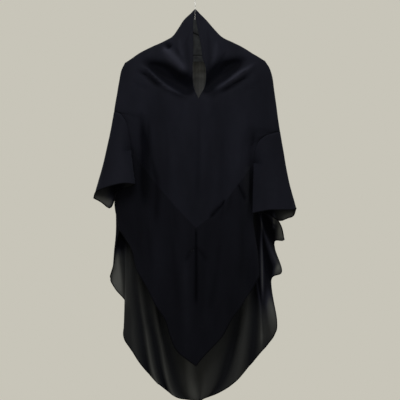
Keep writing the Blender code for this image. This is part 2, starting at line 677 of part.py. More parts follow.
def lofted(name, sections):
    """A closed solid through rings of points, with flat ends."""
    ring = len(sections[0])
    points = np.vstack(sections)
    faces = []
    for s in range(len(sections) - 1):
        for i in range(ring):
            j = (i + 1) % ring
            a, b, c, d = s * ring + i, s * ring + j, (s + 1) * ring + j, (s + 1) * ring + i
            faces += [(a, b, c), (a, c, d)]
    faces.append(tuple(range(ring))[::-1])
    faces.append(tuple(range((len(sections) - 1) * ring, len(points))))
    return add_mesh(name, points, faces)


def arm_line(side, sign):
    """One arm's middle line: places, the way to the arm's underside, and its size."""
    edge = outer_edge(side, "front")
    line = []
    for row, (point, normal) in enumerate(zip(edge, inward_normals(edge))):
        if row > ROWS_HOOD + TIP_ROWS or abs(point[0]) < ARM_SHARES[side]:
            continue
        spot = place(point)[0][[0, 2]] + normal * WRAP
        line.append((spot, normal, 1.0 if row <= ROWS_HOOD else TIP_SLIM))
    inner = place([(sign * ARM_INNER[0], ARM_INNER[1], 0)])[0][[0, 2]]
    slope = line[0][0] - inner
    under = np.array([slope[1], -slope[0]]) * sign / np.linalg.norm(slope)
    return [(inner, under, 1.0)] + line


def hanger_bar():
    """The hanger's arms, from tip to tip, close under the cloth of the shoulders."""
    middle = (place([(*ARM_MIDDLE, 0)])[0][[0, 2]], np.array([0.0, -1.0]), 1.0)
    sections = []
    for spot, under, scale in arm_line("left", -1)[::-1] + [middle] + arm_line("right", 1):
        radius = scale * BAR_DEEP / 2
        ring = []
        for step in range(BAR_SIDES):
            angle = 2 * math.pi * (step + 0.5) / BAR_SIDES
            out, deep = math.sin(angle), math.cos(angle)
            centre = spot + under * (0 if out > 0 else BAR_TALL - BAR_DEEP)
            flat = centre - under * out * radius
            ring.append((flat[0], deep * radius, flat[1]))
        sections.append(np.array(ring))
    return lofted("hanger_bar", sections)


def hook_path():
    """The wire's middle line: up its neck, a bend outwards, and round over the rail."""
    foot = NECK_END - ARM_MIDDLE[1] * DROP + BAR_DEEP / 2 + BUTT_GAP
    start = math.atan2(NECK_END + HOOK_INSIDE, NECK_BEND)
    points = [(0.0, foot), (0.0, (foot + NECK_END) / 2)]
    for step in range(BEND_STEPS + 1):
        angle = math.pi + step / BEND_STEPS * start
        across, up = NECK_BEND * math.cos(angle), NECK_BEND * math.sin(angle)
        points.append((NECK_BEND + across, NECK_END + up))
    for step in range(1, HOOK_STEPS + 1):
        angle = start + step / HOOK_STEPS * (math.radians(HOOK_END) - start)
        across, up = HOOK_RADIUS * math.cos(angle), HOOK_RADIUS * math.sin(angle)
        points.append((across, up - HOOK_INSIDE))
    return np.array(points)


def hanger_hook():
    path = hook_path()
    run = np.gradient(path, axis=0)
    run /= np.linalg.norm(run, axis=1)[:, None]
    run[0] = run[1] = (0, 1)
    sections = []
    for (x, z), (dx, dz) in zip(path, run):
        ring = []
        for step in range(WIRE_SIDES):
            angle = 2 * math.pi * step / WIRE_SIDES
            out, deep = WIRE / 2 * math.cos(angle), WIRE / 2 * math.sin(angle)
            ring.append((x + dz * out, deep, z - dx * out))
        sections.append(np.array(ring))
    return lofted("hanger_hook", sections)


def slit_edge(side, down):
    """The across of the face opening's edge at a drop."""
    return through([p[1] for p in SLIT[side]], [p[0] for p in SLIT[side]], [down])[0, 0]


def brow_band():
    """The strip behind the face opening, over the brow, close behind both its edges."""
    behind = (CLOTH + BAND_GAP) / FOLD_DEPTH
    middle = []
    for down in np.linspace(BAND_TOP, BAND_HEM, BAND_ROWS + 1):
        left, right = slit_edge("left", down), slit_edge("right", down)
        tuck = BAND_TUCK * min(1, 2 * down)
        for across in np.linspace(left - tuck, right + tuck, BAND_COLUMNS + 1):
            under = max(left - across, across - right, 0) / tuck
            deep = behind - swell(FRONT_SWELL, [down])[0] + BAND_DROP * under
            middle.append((across, down, deep))
    middle = place(middle)
    count, wide = len(middle), BAND_COLUMNS + 1
    faces = []
    for row in range(BAND_ROWS):
        for column in range(BAND_COLUMNS):
            a = row * wide + column
            b, c, d = a + 1, a + wide + 1, a + wide
            faces += [(a, d, b), (b, d, c)]
            faces += [(a + count, b + count, d + count), (b + count, c + count, d + count)]
    top = [(v + 1, v) for v in range(BAND_COLUMNS)]
    foot = [(v, v + 1) for v in range(count - wide, count - 1)]
    left = [(v, v + wide) for v in range(0, count - wide, wide)]
    right = [(v + wide, v) for v in range(BAND_COLUMNS, count - 1, wide)]
    for a, b in top + foot + left + right:
        faces += [(b, a, a + count), (b, a + count, b + count)]
    half = np.array([0, CLOTH / 2, 0])
    return add_mesh("brow_band", np.vstack([middle - half, middle + half]), faces)


def clear_scene():
    for obj in list(bpy.data.objects):
        bpy.data.objects.remove(obj, do_unlink=True)


def material(name, colour, roughness, metallic=0.0):
    mat = bpy.data.materials.new(name)
    mat.use_nodes = True
    shader = mat.node_tree.nodes["Principled BSDF"]
    shader.inputs["Base Color"].default_value = colour
    shader.inputs["Roughness"].default_value = roughness
    shader.inputs["Metallic"].default_value = metallic
    return mat


def main():
    clear_scene()
    garment = whole_garment()
    every, shared = piece_normals(garment)
    for piece in sorted(every):
        cloth = material(f"{piece}_crepe", CLOTH_COLOUR, CLOTH_ROUGHNESS)
        thick_piece(garment, every, shared, piece).data.materials.append(cloth)
    brow_band().data.materials.append(material("brow_band_knit", CLOTH_COLOUR, CLOTH_ROUGHNESS))
    hanger_bar().data.materials.append(material("bar_wood", WOOD_COLOUR, WOOD_ROUGHNESS))
    hanger_hook().data.materials.append(material("hook_steel", STEEL_COLOUR, STEEL_ROUGHNESS, 1.0))


main()
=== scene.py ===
"""Looks of a khimar veil with sleeves on its hanger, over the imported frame.

The cloth is the same surface as the solids', worked out in finer rows, with its small
folds, seams, stitched hems and weave. A row runs from the garment's edge (shoulder,
armhole, side) inwards to its middle line. Metres, +Z up, the front faces -Y.
"""

import math

import bpy
import numpy as np
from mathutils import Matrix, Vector, noise
from mathutils.bvhtree import BVHTree

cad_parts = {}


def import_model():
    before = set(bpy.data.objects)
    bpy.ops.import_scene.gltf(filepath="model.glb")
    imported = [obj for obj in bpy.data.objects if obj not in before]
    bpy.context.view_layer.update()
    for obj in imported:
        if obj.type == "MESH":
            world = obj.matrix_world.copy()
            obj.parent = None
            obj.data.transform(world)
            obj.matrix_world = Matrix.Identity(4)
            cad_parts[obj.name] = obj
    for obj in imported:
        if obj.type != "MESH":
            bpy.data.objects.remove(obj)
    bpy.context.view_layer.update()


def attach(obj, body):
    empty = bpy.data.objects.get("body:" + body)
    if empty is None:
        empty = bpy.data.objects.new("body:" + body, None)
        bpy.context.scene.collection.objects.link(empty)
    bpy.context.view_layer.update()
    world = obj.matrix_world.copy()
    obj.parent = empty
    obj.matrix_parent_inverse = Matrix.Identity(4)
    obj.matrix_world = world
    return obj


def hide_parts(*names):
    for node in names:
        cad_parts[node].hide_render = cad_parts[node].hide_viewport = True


# Driving sizes of the garment, in metres, the same as the solids': half its span, its
# length, the depth that stands for a share of 1, and how far its edge lies off the bar
HALF_SPAN = 0.31
LENGTH = 1.24
FOLD_DEPTH = 0.10
WRAP = 0.00655

# The cloth as it shows, in metres: its thickness, what a seam is drawn back and sunk,
# and the roll of a hem, with the sides of its section
CLOTH = 0.0009
SEAM_BACK = 0.00012
SEAM_SUNK = 0.0007
HEM_ROLL = {"yoke_cloth": 0.0007}
HEM_ROLL_ELSEWHERE = 0.0017
HEM_SIDES = 8

# Driving sizes of the hanger, in metres, and where its hook ends, in degrees
WIRE = 0.0032
HOOK_INSIDE = 0.022
HOOK_END = 200
NECK_BEND = 0.008
BAR_DEEP = 0.010
BAR_TALL = 0.016
BUTT_GAP = 0.0003
# How many points there are round the bar and the wire, and along the wire's neck, its
# bend and its curl
BAR_SIDES = 28
WIRE_SIDES = 20
WIRE_POINTS = (12, 17, 97)
# How far up the straight neck its points go, as a share, below the bend's first
NECK_SHARE = 0.9
# A way that a tube's first ring isn't square to
TUBE_START = (0.3, 0.9, 0.2)

# Sizes that follow
DROP = LENGTH / 4
REST = WRAP / FOLD_DEPTH
HOOK_RADIUS = HOOK_INSIDE + WIRE / 2
NECK_END = -HOOK_INSIDE - math.sqrt((HOOK_RADIUS + NECK_BEND) ** 2 - NECK_BEND**2)
# Which side of zero each part lies on
SIGN = {"left": -1, "right": 1, "front": -1, "back": 1}
# The least length that a vector is divided by
TINY = 1e-12

# Stations along the garment's edge, counted as the solids' rows are: the cowl's turn,
# the sleeve's top, the armpit, the side point and the hem's corner
AT_COWL = 12
AT_ARMHOLE = 16
AT_ARMPIT = 23
AT_SIDE = 29
AT_HEM = 35

# Rows in each part of the edge, and columns along a row
ROWS_HOOD = 54
ROWS_CHEST = 20
ROWS_ARMHOLE = 32
ROWS_SIDE = 24
ROWS_HEM = 40
ROWS_SLEEVE = 32
COLUMNS = 54
COLUMNS_TURN = 5
COLUMNS_SLEEVE = 40
SPACING_FOLD = 0.0065
# Rows close to a seam, as shares of the part of the edge beside it
CLOSE_ROWS = (0.004, 0.010, 0.020)
# The most of a row that its turn takes up, and the least slope taken to its edge
TURN_MOST = 0.8
SLOPE_LEAST = 0.5

# Every point below is (across, down, deep): across in shares of HALF_SPAN from the
# hook's line, down in shares of DROP from the end of the hook's straight neck, and
# deep in shares of FOLD_DEPTH, negative to the front. A point without a depth lies at 0.
SHOULDER = {
    "left": [
        (-0.030, 0.125), (-0.11, 0.20), (-0.17, 0.29), (-0.23, 0.37),
        (-0.29, 0.405), (-0.32, 0.42), (-0.45, 0.48), (-0.55, 0.53),
        (-0.64, 0.59), (-0.70, 0.63), (-0.735, 0.70), (-0.755, 0.80),
        (-0.78, 0.95), (-0.798, 1.05), (-0.808, 1.115),
    ],
    "right": [
        (0.035, 0.125), (0.12, 0.21), (0.18, 0.28), (0.27, 0.37),
        (0.37, 0.42), (0.50, 0.49), (0.58, 0.54), (0.65, 0.58),
        (0.70, 0.61), (0.745, 0.68), (0.77, 0.76), (0.79, 0.90),
        (0.81, 1.05), (0.83, 1.20), (0.848, 1.31),
    ],
}
COWL_AT = {"left": 9, "right": 8}
ARMHOLE_FRONT = {
    "left": [
        (-0.808, 1.115, 0), (-0.75, 1.135, -0.07), (-0.69, 1.22, -0.09),
        (-0.66, 1.35, -0.08), (-0.645, 1.45, -0.03), (-0.64, 1.50, 0.04),
    ],
    "right": [
        (0.848, 1.31, 0), (0.78, 1.335, -0.06), (0.71, 1.355, -0.09),
        (0.64, 1.41, -0.09), (0.60, 1.50, -0.08), (0.59, 1.58, -0.03), (0.588, 1.63, 0.04),
    ],
}
ARMHOLE_BACK = {
    "left": [
        (-0.808, 1.115, 0), (-0.75, 1.14, 0.07), (-0.69, 1.22, 0.09),
        (-0.66, 1.35, 0.11), (-0.645, 1.45, 0.10), (-0.64, 1.50, 0.04),
    ],
    "right": [
        (0.848, 1.31, 0), (0.78, 1.335, 0.06), (0.71, 1.36, 0.08),
        (0.64, 1.42, 0.09), (0.60, 1.50, 0.11), (0.59, 1.58, 0.10), (0.588, 1.63, 0.04),
    ],
}
SIDE = {
    "left": [
        (-0.64, 1.50, 0.04), (-0.67, 1.55, 0.11), (-0.715, 1.66, 0.15), (-0.76, 1.80, 0.17),
        (-0.81, 1.98, 0.15), (-0.76, 2.30, 0.08),
    ],
    "right": [
        (0.588, 1.63, 0.04), (0.60, 1.68, 0.11), (0.612, 1.76, 0.15), (0.618, 1.87, 0.16),
        (0.62, 2.00, 0.13),
    ],
}
SLIT = {
    "left": [
        (0.0, 0.100), (-0.008, 0.14), (-0.018, 0.20), (-0.02, 0.33), (-0.02, 0.60),
        (-0.025, 0.70), (-0.022, 0.80), (-0.012, 0.88), (0.006, 0.94), (0.035, 1.005),
    ],
    "right": [
        (0.004, 0.100), (0.006, 0.14), (0.014, 0.20), (0.035, 0.33), (0.06, 0.45),
        (0.08, 0.60), (0.105, 0.68), (0.112, 0.76), (0.105, 0.84), (0.088, 0.90),
        (0.064, 0.95), (0.035, 1.005),
    ],
}
# The front's middle line below the slit: chest, yoke, side and hem
FRONT_MIDDLE = [
    [(0.035, 1.005), (0.03, 1.20)],
    [(0.03, 1.20), (0.03, 1.70), (0.01, 2.28)],
    [(0.01, 2.28), (0.01, 2.63)],
    [(0.01, 2.63), (0.01, 3.64)],
]
V_SEAM = {
    "left": [(-0.64, 1.50), (-0.40, 1.82), (-0.17, 2.09), (0.01, 2.28)],
    "right": [(0.588, 1.63), (0.43, 1.84), (0.21, 2.12), (0.01, 2.28)],
}
# The front's hem: from the side point to its corner, and from the corner to the tip
FRONT_HEM = {
    "left": [(-0.76, 2.30, 0.08), (-0.70, 2.385, 0.02), (-0.645, 2.47, -0.03), (-0.585, 2.69, -0.09)],
    "right": [
        (0.62, 2.00, 0.13), (0.59, 2.10, 0.06), (0.583, 2.21, -0.02),
        (0.597, 2.34, -0.06), (0.63, 2.56, -0.09), (0.64, 2.75, -0.10),
    ],
}
V_HEM = {
    "left": [
        (-0.585, 2.69), (-0.49, 2.84), (-0.385, 3.04), (-0.29, 3.19),
        (-0.25, 3.33), (-0.17, 3.50), (-0.08, 3.575), (0.01, 3.64),
    ],
    "right": [
        (0.64, 2.75), (0.58, 2.87), (0.50, 2.98), (0.44, 3.07),
        (0.36, 3.18), (0.26, 3.36), (0.18, 3.445), (0.06, 3.576), (0.01, 3.64),
    ],
}
# The back's middle line above the skirt
BACK_MIDDLE = [(0.0, 0.100), (-0.005, 1.30), (-0.005, 2.30)]
# The back's hem from the side point to its first bulge
BACK_HEM = {
    "left": [(-0.76, 2.30, 0.08), (-0.80, 2.48, 0.08), (-0.815, 2.63, 0.11), (-0.855, 2.77, 0.20)],
    "right": [(0.62, 2.00, 0.13), (0.76, 2.11, 0.13), (0.86, 2.25, 0.15), (0.90, 2.40, 0.24)],
}
# The share of the back skirt's drop at which its edge reaches the side point
SIDE_LEVEL = 0.62
# The skirt of the back, a row for each fold from the side inwards: where it leaves the
# row from armpit to middle (share), its across and deep at half and at four fifths of
# its drop, and its hem point
BACK_FOLDS = {
    "left": [
        (0.047, (-0.770, 0.24), (-0.790, 0.28), (-0.800, 2.91, 0.34)),
        (0.063, (-0.715, 0.26), (-0.710, 0.33), (-0.690, 3.07, 0.40)),
        (0.080, (-0.700, 0.23), (-0.705, 0.17), (-0.720, 3.36, 0.16)),
        (0.095, (-0.675, 0.24), (-0.655, 0.17), (-0.645, 3.50, 0.15)),
        (0.115, (-0.655, 0.23), (-0.625, 0.19), (-0.560, 3.64, 0.16)),
        (0.140, (-0.610, 0.26), (-0.540, 0.34), (-0.450, 3.77, 0.40)),
        (0.170, (-0.570, 0.22), (-0.480, 0.19), (-0.370, 3.85, 0.18)),
        (0.210, (-0.507, 0.26), (-0.400, 0.36), (-0.260, 3.94, 0.42)),
        (0.270, (-0.440, 0.22), (-0.330, 0.20), (-0.200, 3.98, 0.20)),
        (0.350, (-0.400, 0.27), (-0.265, 0.34), (-0.070, 4.01, 0.40)),
        (0.460, (-0.340, 0.24), (-0.170, 0.28), (-0.010, 4.02, 0.39)),
    ],
    "right": [
        (0.045, (0.640, 0.21), (0.735, 0.33), (0.81, 2.51, 0.38)),
        (0.060, (0.655, 0.235), (0.765, 0.21), (0.87, 2.72, 0.14)),
        (0.075, (0.650, 0.275), (0.715, 0.34), (0.77, 2.81, 0.36)),
        (0.092, (0.635, 0.27), (0.745, 0.22), (0.82, 3.22, 0.12)),
        (0.110, (0.620, 0.255), (0.715, 0.23), (0.80, 3.35, 0.16)),
        (0.130, (0.605, 0.27), (0.690, 0.27), (0.74, 3.45, 0.28)),
        (0.155, (0.590, 0.25), (0.665, 0.21), (0.67, 3.52, 0.18)),
        (0.190, (0.570, 0.29), (0.610, 0.36), (0.55, 3.67, 0.40)),
        (0.240, (0.540, 0.25), (0.500, 0.22), (0.41, 3.825, 0.20)),
        (0.300, (0.500, 0.25), (0.430, 0.25), (0.27, 3.925, 0.26)),
        (0.370, (0.450, 0.30), (0.365, 0.38), (0.13, 3.985, 0.40)),
        (0.500, (0.340, 0.27), (0.250, 0.28), (0.08, 4.005, 0.38)),
    ],
}
# How deep that row lies at these shares of it, between its own two ends
SEAT_SHARES = (0, 0.05, 0.1, 0.5, 1)
SEAT_DEPTHS = (0.11, 0.14, 0.28)
# The fold from which the back's hem runs on towards its tip without turning back
SKIRT_TURN = {"left": 3, "right": 5}
# A fold that hangs further back also hangs lower, so that the hem is one curve from the
# front: the height and depth from which that counts, and how strongly
HEM_EYE = 2.0
HEM_DEEP = 0.20
HEM_SINK = 0.0415
BACK_TIP = ((-0.005, 0.30), (0.02, 0.34), (0.05, 4.03, 0.39))
# The cuff's hem from the outer fold over the front to the inner fold, and back behind
CUFF_FRONT = {
    "left": [
        (-1.00, 1.98, -0.30), (-0.97, 1.92, -0.44), (-0.91, 1.89, -0.54),
        (-0.80, 1.855, -0.55), (-0.70, 1.835, -0.50), (-0.62, 1.84, -0.42), (-0.59, 1.845, -0.33),
    ],
    "right": [
        (1.00, 2.08, -0.30), (0.95, 2.095, -0.46), (0.84, 2.095, -0.54),
        (0.74, 2.095, -0.54), (0.65, 2.11, -0.46), (0.57, 2.13, -0.32),
    ],
}
CUFF_BACK = {
    "left": [
        (-1.00, 1.98, -0.30), (-0.92, 2.03, -0.10), (-0.85, 2.08, -0.08),
        (-0.81, 2.02, -0.13), (-0.79, 1.93, -0.16), (-0.70, 1.89, -0.19),
        (-0.62, 1.86, -0.24), (-0.59, 1.845, -0.33),
    ],
    "right": [
        (1.00, 2.08, -0.30), (0.965, 2.165, -0.14), (0.92, 2.18, -0.08),
        (0.86, 2.205, -0.08), (0.73, 2.14, -0.12), (0.63, 2.12, -0.18), (0.57, 2.13, -0.32),
    ],
}
# A sleeve's outer fold from the shoulder to the cuff, and its inner fold from the armpit
OUTER_FOLD = {
    "left": [
        (-0.808, 1.115, 0), (-0.85, 1.35, -0.05), (-0.88, 1.50, -0.12),
        (-0.92, 1.68, -0.20), (-0.96, 1.83, -0.26), (-1.00, 1.98, -0.30),
    ],
    "right": [
        (0.848, 1.31, 0), (0.88, 1.50, -0.06), (0.91, 1.70, -0.16),
        (0.94, 1.85, -0.23), (1.00, 2.08, -0.30),
    ],
}
INNER_FOLD = {
    "left": [(-0.64, 1.50, 0.04), (-0.635, 1.56, -0.08), (-0.62, 1.66, -0.19), (-0.59, 1.845, -0.33)],
    "right": [(0.588, 1.63, 0.04), (0.585, 1.69, -0.08), (0.58, 1.82, -0.19), (0.57, 2.13, -0.32)],
}
# How far a sleeve's wall stands off its folds, as a share of FOLD_DEPTH, and the
# distance, in metres, in which it does so
SLEEVE_PUFF = {"front": 0.06, "back": 0.03}
SLEEVE_TURN = 0.010
# The sleeve's depth beside its armhole seam, and how far from the seam it is reached
SLEEVE_SEAM = {"front": -0.07, "back": -0.01}
SLEEVE_FADE = 0.035
# How far the front and the back stand off at the middle, by drop
FRONT_SWELL = [
    (0.12, 0.08), (0.33, 0.14), (0.60, 0.25), (0.98, 0.40), (1.30, 0.42), (2.0, 0.42),
    (2.8, 0.36), (3.64, 0.26),
]
BACK_SWELL = [(0.12, 0.08), (0.33, 0.12), (0.60, 0.20), (1.30, 0.30), (2.30, 0.34), (4.02, 0.32)]
# Where the lower front starts to stand off beside the sleeve, and where it has done so
FRONT_GROOVE = {"left": (-0.62, -0.40), "right": (0.58, 0.42)}
# The drops between which the front goes over from its middle's swell to that
GROOVE_DROPS = (1.20, 1.75)
# How far inwards, in metres, the cloth keeps the depth of its edge, and how far it
# stands off beside an armhole's seam, as a share of FOLD_DEPTH
EDGE_FADE = 0.07
SEAM_TURN = 0.025
# Where a crease has risen to its full depth and where it starts to fade, as shares of
# its line: most creases, those that run right up to the face opening, the rolls that
# end beside the chin, and short ones
FADES = {"long": (0.35, 0.75), "chin": (0.45, 0.80), "roll": (0.35, 0.70), "short": (0.12, 0.80)}
# How far from the edge, in metres, creases and small folds start and are in full
LARGE_CALM = (0.003, 0.035)
SMALL_CALM = (0.004, 0.030)
# How wide a crease starts, as a share of its width, and where it is at its full width
CREASE_START = 0.45
CREASE_WIDE = 0.6
# Creases of the front: their depth (share of FOLD_DEPTH, negative for a roll that
# stands out), their width (share of HALF_SPAN) and their line
FRONT_FOLDS = [
    (-0.12, 0.055, [(-0.32, 0.42), (-0.29, 0.52), (-0.23, 0.60), (-0.15, 0.68), (-0.07, 0.78)]),
    (0.24, 0.092, [(-0.56, 0.60), (-0.42, 0.67), (-0.29, 0.745), (-0.17, 0.83), (-0.06, 0.90),
        (0.02, 0.96)], "chin"),
    (-0.10, 0.026, [(-0.57, 0.64), (-0.46, 0.71), (-0.38, 0.79), (-0.28, 0.88), (-0.17, 0.94),
        (-0.08, 0.975), (-0.02, 1.00)], "roll"),
    (0.06, 0.024, [(-0.60, 0.69), (-0.49, 0.76), (-0.40, 0.84), (-0.33, 0.90)]),
    (0.22, 0.085, [(0.56, 0.58), (0.43, 0.64), (0.32, 0.70), (0.20, 0.80), (0.11, 0.90),
        (0.05, 0.97)], "chin"),
    (-0.11, 0.036, [(0.63, 0.62), (0.52, 0.70), (0.43, 0.76), (0.33, 0.83), (0.20, 0.905),
        (0.07, 0.985)], "roll"),
    (0.06, 0.026, [(0.61, 0.70), (0.52, 0.77), (0.43, 0.83), (0.35, 0.88), (0.22, 0.96)]),
    (0.09, 0.055, [(-0.54, 1.07), (-0.50, 1.50), (-0.50, 2.15)]),
    (0.03, 0.025, [(-0.46, 1.18), (-0.455, 1.60)]),
    (0.04, 0.030, [(-0.45, 1.50), (-0.37, 1.85), (-0.38, 2.30)]),
    (0.08, 0.040, [(0.58, 1.25), (0.58, 1.60), (0.55, 2.13)]),
    (0.07, 0.018, [(0.01, 2.26), (0.012, 2.60), (0.01, 3.10)], "short"),
]
# Small folds that the solids leave out, in the same form
SMALL_FOLDS = [
    (0.020, 0.020, [(-0.04, 0.30), (-0.09, 0.45), (-0.07, 0.62), (-0.04, 0.78)]),
    (-0.020, 0.025, [(-0.16, 0.36), (-0.15, 0.50), (-0.11, 0.62)]),
    (0.025, 0.022, [(-0.22, 0.44), (-0.17, 0.55), (-0.11, 0.66), (-0.06, 0.74)]),
    (0.020, 0.020, [(0.12, 0.26), (0.14, 0.42), (0.15, 0.60), (0.13, 0.76)]),
    (-0.020, 0.030, [(0.22, 0.40), (0.21, 0.55), (0.17, 0.70)]),
    (0.020, 0.022, [(0.33, 0.48), (0.28, 0.58), (0.21, 0.68), (0.15, 0.78)]),
    (0.012, 0.016, [(-0.42, 0.62), (-0.34, 0.68), (-0.24, 0.76)]),
    (0.012, 0.016, [(0.44, 0.58), (0.36, 0.64), (0.27, 0.72)]),
    (0.010, 0.022, [(-0.66, 0.78), (-0.56, 0.86), (-0.44, 0.92)]),
    (0.010, 0.022, [(0.70, 0.76), (0.60, 0.86), (0.47, 0.93)]),
    (0.016, 0.020, [(0.02, 1.02), (0.04, 1.30), (0.03, 1.75), (0.02, 2.10)]),
    (0.010, 0.026, [(-0.30, 1.15), (-0.27, 1.60), (-0.30, 2.05)]),
    (0.010, 0.026, [(0.28, 1.20), (0.27, 1.60), (0.24, 2.05)]),
    (0.060, 0.015, [(0.42, 1.84), (0.45, 1.91), (0.50, 2.02)], "short"),
    (0.055, 0.016, [(0.30, 2.00), (0.26, 2.06), (0.21, 2.11), (0.14, 2.19)], "short"),
    (0.085, 0.028, [(-0.30, 0.40), (-0.285, 0.45), (-0.24, 0.50)], "short"),
    (0.040, 0.030, [(-0.77, 2.28), (-0.72, 2.40), (-0.66, 2.52)], "short"),
    (0.014, 0.016, [(0.36, 1.90), (0.35, 2.02), (0.31, 2.16)]),
    (0.012, 0.014, [(0.29, 1.98), (0.27, 2.10), (0.25, 2.25)]),
    (0.012, 0.014, [(-0.22, 2.02), (-0.20, 2.16), (-0.19, 2.34)]),
    (0.014, 0.030, [(-0.23, 2.30), (-0.20, 2.70), (-0.15, 3.15)]),
    (0.014, 0.030, [(0.25, 2.25), (0.22, 2.70), (0.14, 3.15)]),
    (-0.016, 0.045, [(-0.10, 2.45), (-0.09, 2.90), (-0.06, 3.40)]),
    (-0.016, 0.045, [(0.13, 2.45), (0.12, 2.90), (0.08, 3.40)]),
    (0.018, 0.030, [(-0.50, 2.10), (-0.46, 2.40), (-0.42, 2.75)]),
    (0.018, 0.035, [(0.46, 2.10), (0.47, 2.50), (0.44, 2.85)]),
    (0.030, 0.018, [(0.01, 2.46), (-0.05, 2.53), (-0.10, 2.62)], "short"),
    (0.030, 0.018, [(0.01, 2.46), (0.07, 2.53), (0.12, 2.62)], "short"),
]
# Loose cloth everywhere: how high its waves stand, in metres, and how many there are in
# a metre, across and down
WAVES = [(0.0011, 16, 4), (0.0006, 38, 11), (0.00022, 110, 60)]
# The drops between which the waves begin
WAVES_FROM = (0.12, 0.40)
# Puckers beside a seam: height in metres, waves in a metre, reach in shares
PUCKER = 0.0006
PUCKER_WAVES = 85
PUCKER_REACH = 0.055
# Where each kind of noise is read from
WAVE_SEED = 7.3
PUCKER_SEED = 31.0
SEAM_SEED = 57.0

# How wide a part of a skirt's row counts as its own mean run, in metres
RELIEF_REACH = 0.050
# Painted shade on the wrong side inside the side seams, deep behind the sleeves: how fully it covers, width
# and line, in shares
PAINTED_SIDE_SHADE = [
    (1.8, 0.10, [(-0.79, 1.50), (-0.775, 2.10), (-0.77, 2.40), (-0.79, 2.62)], "short"),
    (1.6, 0.09, [(0.66, 1.50), (0.68, 2.20), (0.70, 2.60), (0.69, 2.95), (0.70, 3.30)]),
    (1.6, 0.07, [(0.74, 1.50), (0.75, 2.10), (0.735, 2.40), (0.73, 2.75), (0.74, 3.10)]),
]
# Painted highlights of the wrong side, on narrow folds and places that catch the light: how strongly, as a
# relief in metres, their width and their line, in shares
GLINTS = [
    (0.010, 0.014, [(0.672, 1.90), (0.672, 2.30), (0.675, 2.60), (0.685, 3.15)]),
    (0.010, 0.010, [(0.795, 2.00), (0.795, 2.15), (0.795, 2.34)]),
    (0.022, 0.070, [(-0.76, 2.42), (-0.80, 2.65), (-0.78, 2.95), (-0.74, 3.15)]),
    (0.010, 0.080, [(0.74, 2.85), (0.755, 3.10), (0.745, 3.32), (0.70, 3.52)]),
    (0.011, 0.120, [(0.02, 2.90), (0.01, 3.50), (0.0, 3.90), (-0.02, 4.30)]),
    (0.015, 0.060, [(-1.03, 1.93), (-0.95, 2.00), (-0.86, 2.03), (-0.80, 2.06)]),
    (0.013, 0.050, [(1.00, 2.10), (0.95, 2.15), (0.90, 2.18), (0.86, 2.22)]),
    (0.012, 0.040, [(0.87, 2.20), (0.86, 2.35), (0.82, 2.50)]),
    (0.010, 0.035, [(0.86, 2.62), (0.82, 2.72), (0.78, 2.84)]),
]

# The brow band behind the face opening: its top, its lower hem, how far it reaches
# behind the edges, how much deeper its ends lie, and how far it stands behind, in metres
BAND_TOP = 0.20
BAND_HEM = 0.63
BAND_TUCKED = 0.07
BAND_DROP = 0.03
BAND_BEHIND = 0.0021
BAND_COLUMNS = 44
BAND_ROWS = 110
# Its pleat, from left to right, its bulge, its tuck and its sewn hem: heights and
# widths, in shares
BAND_PLEAT = (0.33, 0.36)
PLEAT_HIGH = 0.020
PLEAT_LINE = 0.022
PLEAT_WIDE = 0.010
BULGE_HIGH = 0.010
BULGE_AT = (0.45, 0.05)
TUCK_HIGH = 0.016
TUCK_AT = (0.48, 0.56)
BAND_STITCH = 0.57
HEM_STEP = 0.004
HEM_LINE = 0.014

# Stitches: length, gap, width and height, and how far they run from the hem, in metres
STITCH = 0.0026
STITCH_GAP = 0.0010
STITCH_WIDE = 0.0005
STITCH_HIGH = 0.00022
STITCH_IN = 0.0065
# A stitch's width and height along it, as shares
STITCH_SHAPE = [(0, 0.4, 0.1), (0.25, 1, 1), (0.75, 1, 1), (1, 0.4, 0.1)]

# The hanger's arm from its middle to the shoulder, where the cloth rests on it
ARM_MIDDLE = (0.0, 0.29)
ARM_INNER = (0.24, 0.405)
ARM_SHARE = 0.33
# The arm's tips, past the shoulder's turn: how many rows on, and how slim
TIP_ROWS = 2
TIP_SLIM = 0.8

# Looks: linear colours
# The outside's tone, with a darker tone for painted shade in the hollows of folds and a lighter one for
# painted highlights on their ridges
OUTSIDE = (0.0038, 0.0041, 0.0066)
OUTSIDE_LOW = (0.0007, 0.0008, 0.0018)
OUTSIDE_HIGH = (0.0095, 0.0100, 0.0150)
# How much darker the lower front's outside is painted than the yoke's: painted shade, as the lower front
# hangs further below the light
LOWER_FRONT_SHADE = 0.66
# The wrong side's tone, with tones for painted shade in the hollows of folds and painted highlights on their
# ridges
INSIDE = (0.0092, 0.0098, 0.0106)
INSIDE_LOW = (0.0044, 0.0048, 0.0062)
INSIDE_HIGH = (0.0150, 0.0157, 0.0160)
# The brightest tone of the wrong side, for painted highlights
INSIDE_PAINTED_HIGHLIGHT = (0.0520, 0.0540, 0.0530)
# The tones under that painted shade: dark tones of the outside, with painted highlights still showing
PAINTED_SIDE_SHADE_TONES = (OUTSIDE_LOW, OUTSIDE_LOW, OUTSIDE_HIGH, INSIDE_PAINTED_HIGHLIGHT)
# Where the four tones of crepe lie, from painted shade in the hollows of folds to painted highlights on
# their ridges, and the relief, in metres, that shows the last
FOLD_TONES = (0.30, 0.50, 0.70, 1.0)
RELIEF_SHOWN = 0.017
MOTTLE = (0.80, 1.20)
RIM = (0.0012, 0.0013, 0.0020)
KNIT = (0.0022, 0.0026, 0.0034)
KNIT_LIGHT = (0.0066, 0.0076, 0.0084)
# The lining's tones: a paler knit, made paler still as painted light where the hood shades it
LINING = (0.1000, 0.1030, 0.1040)
LINING_LIGHT = (0.1400, 0.1430, 0.1430)
# Painted light and shade on the lining, evening out the light that falls on it: how much darker it is at the
# chin than at the brow, and between which heights
LINING_SHADE = (0.36, 1.20)
LINING_HEIGHTS = (-0.293, -0.262)
